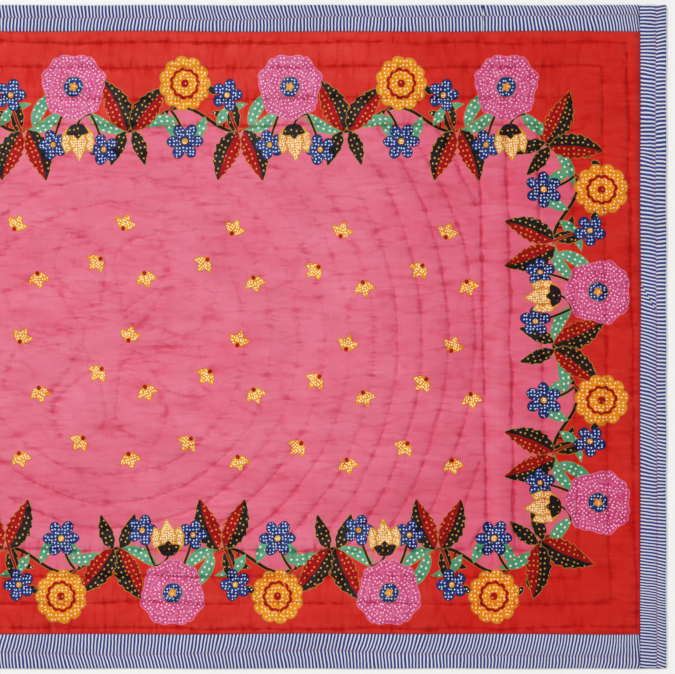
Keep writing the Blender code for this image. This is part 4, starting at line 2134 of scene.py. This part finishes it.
def edging(seams: Seams) -> list[Band]:
    """Makes the four bands, as unevenly cut and sewn as the photo shows them.

    The left one is out of the photo, so its unevenness is made up.

    Args:
        seams: Where they lie.

    Returns:
        The bands, not yet built.
    """
    return [
        Band(
            seams, Side.TOP,
            stitch_in=tuple(v * MM for v in (21, 23, 20, 22, 21, 22, 25, 19, 19, 18, 16)),
            inner_lean=(-0.12, -0.10, -0.10, -0.14, 0.06, 0.34),
            outer_lean=(0.15, 0.10, 0.15, 0.32, 0.34, 0.16),
            density=(1.0, 0.99, 0.99, 1.01, 1.0, 0.94),
            stretch=0.998,
            gather=0.012,
            bow=100.0,
            join=((0.596, 0.0), (0.596, 1.0)),
        ),
        Band(
            seams, Side.BOTTOM,
            stitch_in=tuple(v * MM for v in (24, 27, 25, 26, 27, 22, 27, 30, 24, 21, 21)),
            inner_lean=(0.26, 0.28, 0.26, 0.28, 0.40, 0.28),
            outer_lean=(-0.22, -0.24, -0.25, -0.26, -0.10, -0.10),
            density=(1.0, 0.99, 1.0, 0.99, 0.99, 1.01, 0.99, 0.975, 0.96, 1.05, 1.07),
            bow=60.0,
            twist=-0.40,
            join=((-0.31, 0.0), (-0.31, 1.0)),
        ),
        Band(
            seams, Side.RIGHT,
            stitch_in=tuple(v * MM for v in (16, 15, 16, 17, 18, 17)),
            inner_lean=(0.02, 0.24, 0.40, 0.26, 0.08, 0.10),
            outer_lean=(0.32, 0.20, 0.02, -0.07, -0.07, -0.16),
            density=(1.0, 1.26, 0.99, 0.96, 0.90, 0.92, 0.89, 0.85, 0.83, 0.87, 0.99),
            stretch=0.985,
            join=((0.862, 0.081), (0.882, 0.044)),
        ),
        Band(
            seams, Side.LEFT,
            stitch_in=tuple(v * MM for v in (17, 16, 18, 17, 16, 17)),
            inner_lean=(0.10, 0.20, 0.10, 0.04, 0.16, 0.08),
            outer_lean=(-0.12, 0.04, -0.14, -0.08, 0.02, -0.10),
            density=(1.0, 0.88, 0.85, 0.92, 0.97, 0.90, 1.0),
            stretch=0.99,
            join=((-0.862, -0.12), (-0.882, -0.16)),
        ),
    ]


@dataclass
class RunningStitches:
    """Hand-sewn running stitches along a set of lines.

    Attributes:
        name: The piece's name.
        finish: The thread.
        slot: The material slot that it is meant for; not used.
        pitch: The distance from one stitch to the next.
        length: How long a stitch shows.
        radius: The thread's radius, drawn a little thick so that it shows.
        rise: How far its middle is drawn up towards a point above the line.
        depth: How far its ends go into the cloth.
    """

    name: str
    finish: SewingThread
    slot: str
    pitch: float = 10.75 * MM
    length: float = 4.6 * MM
    radius: float = 0.24 * MM
    rise: float = 1.15 * MM
    depth: float = 0.9 * MM

    def tree(self, material: Material) -> Tree:
        """Builds the nodes that set a bowed stitch at each step of a line.

        Args:
            material: The thread's material.

        Returns:
            The node tree.
        """
        tree = bpy.data.node_groups.new(self.name, "GeometryNodeTree")
        kinds = {"Lines": "Geometry", "Pitch": "Float", "Length": "Float", "Radius": "Float", "Seed": "Int"}
        for label, kind in kinds.items():
            tree.interface.new_socket(label, in_out="INPUT", socket_type="NodeSocket" + kind)
        tree.interface.new_socket("Stitches", in_out="OUTPUT", socket_type="NodeSocketGeometry")
        lines, pitch, length, radius, seed = (wire(tree, "NodeGroupInput", (), name) for name in kinds)
        curve = wire(tree, "GeometryNodeMeshToCurve", (lines,))
        inputs = {"Curve": curve, "Length": pitch}
        marks = wire(tree, "GeometryNodeCurveToPoints", inputs, "Points", mode="LENGTH")
        inputs = {"Vector": marks.node.outputs["Tangent"]}
        lie = wire(tree, "FunctionNodeAlignRotationToVector", inputs, axis="X")
        ends = [
            wire(tree, "ShaderNodeCombineXYZ", {
                "X": wire(tree, MATH, (length, share), operation="MULTIPLY"), "Z": -self.depth,
            })
            for share in (-0.5, 0.5)
        ]
        inputs = {"Resolution": 4, "Start": ends[0], "Middle": (0.0, 0.0, self.rise), "End": ends[1]}
        bow = wire(tree, "GeometryNodeCurveQuadraticBezier", inputs)
        inputs = {"Resolution": 5, "Radius": radius}
        section = wire(tree, "GeometryNodeCurvePrimitiveCircle", inputs, mode="RADIUS")
        inputs = {"Curve": bow, "Profile Curve": section, "Fill Caps": True}
        thread = wire(tree, "GeometryNodeCurveToMesh", inputs)
        inputs = {0: (0.75, 0.85, 0.85), 1: (1.2, 1.1, 1.1), "Seed": seed}
        uneven = wire(tree, "FunctionNodeRandomValue", inputs, data_type="FLOAT_VECTOR")
        inputs = {"Points": marks, "Instance": thread, "Rotation": lie, "Scale": uneven}
        copies = wire(tree, "GeometryNodeInstanceOnPoints", inputs)
        solid = wire(tree, "GeometryNodeRealizeInstances", (copies,))
        inputs = {"Geometry": solid, "Material": material}
        wire(tree, "NodeGroupOutput", (wire(tree, "GeometryNodeSetMaterial", inputs),))
        return tree

    def build(self, lines: list[Array]) -> Object:
        """Sews along the lines.

        Args:
            lines: Paths in space.

        Returns:
            The finished object.
        """
        points = np.concatenate(lines)
        ends = np.cumsum([len(line) for line in lines])
        edges = [(i, i + 1) for i in range(len(points) - 1) if i + 1 not in ends]
        guide = bpy.data.meshes.new(self.name + "_lines")
        guide.from_pydata(points.tolist(), edges, [])
        host = new_object(self.name + "_lines", guide)
        material = self.finish.material()
        modifier = host.modifiers.new("sewing", "NODES")
        modifier.node_group = self.tree(material)
        sizes = {"Pitch": self.pitch, "Length": self.length, "Radius": self.radius, "Seed": 4}
        for item in modifier.node_group.interface.items_tree:
            if item.in_out == "INPUT" and item.name in sizes:
                modifier[item.identifier] = sizes[item.name]
        graph = bpy.context.evaluated_depsgraph_get()
        mesh = bpy.data.meshes.new_from_object(host.evaluated_get(graph))
        host.modifiers.remove(modifier)
        bpy.data.objects.remove(host)
        mesh.name = self.name
        mesh.shade_smooth()
        made = new_object(self.name, mesh)
        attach(made, "root")
        return made


# The room


@dataclass
class Studio:
    """A pale floor, soft light from the upper left and a camera straight above.

    Attributes:
        pixel: The size of one of the picture's pixels on the quilt.
        picture: The picture's width and height in pixels.
        middle: The pixel where the middle of the quilt lies.
        lens: The camera's focal length in millimetres.
        sensor: The width of its film in millimetres.
        floor_colour: The floor's sRGB colour.
    """

    pixel: float = 1.10 / 663
    picture: tuple[int, int] = (675, 674)
    middle: Pair = (123.5, 336.8)
    lens: float = 85.0
    sensor: float = 36.0
    floor_colour: str = "EFEFEE"

    def floor(self) -> Object:
        """Builds the floor, just under the quilt, in matt paint that has no gloss to show."""
        size, drop = 12.0, -0.4 * MM
        mesh = bpy.data.meshes.new("floor")
        corners = [(-size, -size, drop), (size, -size, drop), (size, size, drop), (-size, size, drop)]
        mesh.from_pydata(corners, [], [(0, 1, 2, 3)])
        material, _, shader = new_material("matt_painted_floor")
        shader.inputs["Base Color"].default_value = linear(self.floor_colour)
        shader.inputs["Roughness"].default_value = 0.95
        shader.inputs["Specular IOR Level"].default_value = 0.1
        mesh.materials.append(material)
        made = new_object("floor", mesh)
        return made

    def lamp(self, name: str, place: tuple, size: float, power: float) -> None:
        """Hangs a square soft lamp that points at the quilt.

        Args:
            name: Its name.
            place: Where it hangs.
            size: How wide it is.
            power: Its power in watts.
        """
        data = bpy.data.lights.new(name, "AREA")
        data.shape, data.size, data.energy = "SQUARE", size, power
        made = new_object(name, data)
        made.location = place
        made.rotation_euler = (-Vector(place)).to_track_quat("-Z", "Y").to_euler()

    def light(self) -> None:
        """Lights the scene: a wide key from the upper left over an even room."""
        self.lamp("key", (-5.0, 3.6, 5.0), 2.0, 345.0)
        self.lamp("fill", (2.6, -2.0, 3.6), 3.0, 42.0)
        world = bpy.data.worlds.new("room")
        world.use_nodes = True
        world.node_tree.nodes["Background"].inputs[0].default_value = linear("FFFFFF")
        world.node_tree.nodes["Background"].inputs[1].default_value = 0.60
        bpy.context.scene.world = world
        bpy.context.scene.view_settings.view_transform = "Standard"

    def camera(self) -> None:
        """Sets the camera straight above the part of the quilt that the picture shows."""
        wide, high = self.picture
        x = (wide / 2 - self.middle[0]) * self.pixel
        y = (self.middle[1] - high / 2) * self.pixel
        data = bpy.data.cameras.new("above")
        data.lens, data.sensor_width = self.lens, self.sensor
        made = new_object("above", data)
        made.location = (x, y, wide * self.pixel * self.lens / self.sensor)
        bpy.context.scene.camera = made


def main() -> None:
    """Builds the quilt and its room."""
    logging.basicConfig(level=logging.INFO, format="%(name)s: %(message)s")
    studio = Studio()
    studio.camera()
    studio.light()
    studio.floor()
    seams = Seams()
    quilting = Quilting(seams)
    pieces = [Panel(seams, quilting).build()]
    striped = StripedCotton().material()
    bands = edging(seams)
    pieces += [band.build(striped) for band in bands]
    lines = {True: [], False: []}
    for row in quilting.rows:
        height = quilting.heights(row.path)[0]
        lines[row.on_border].append(np.column_stack([row.path, height]))
    sewn = (
        ("field_stitches", "C44F70", "printed_cotton", lines[False]),
        ("border_stitches", "AE2A2C", "printed_cotton", lines[True]),
        ("edging_stitches", "A98ABA", "striped_cotton", [band.sewing() for band in bands]),
    )
    for name, colour, slot, paths in sewn:
        thread = SewingThread(name.replace("stitches", "thread"), colour)
        pieces.append(RunningStitches(name, thread, slot).build(paths))
    for piece in pieces:
        piece.data.calc_loop_triangles()
        log.info("%s: %d triangles", piece.name, len(piece.data.loop_triangles))


if __name__ == "__main__":
    main()
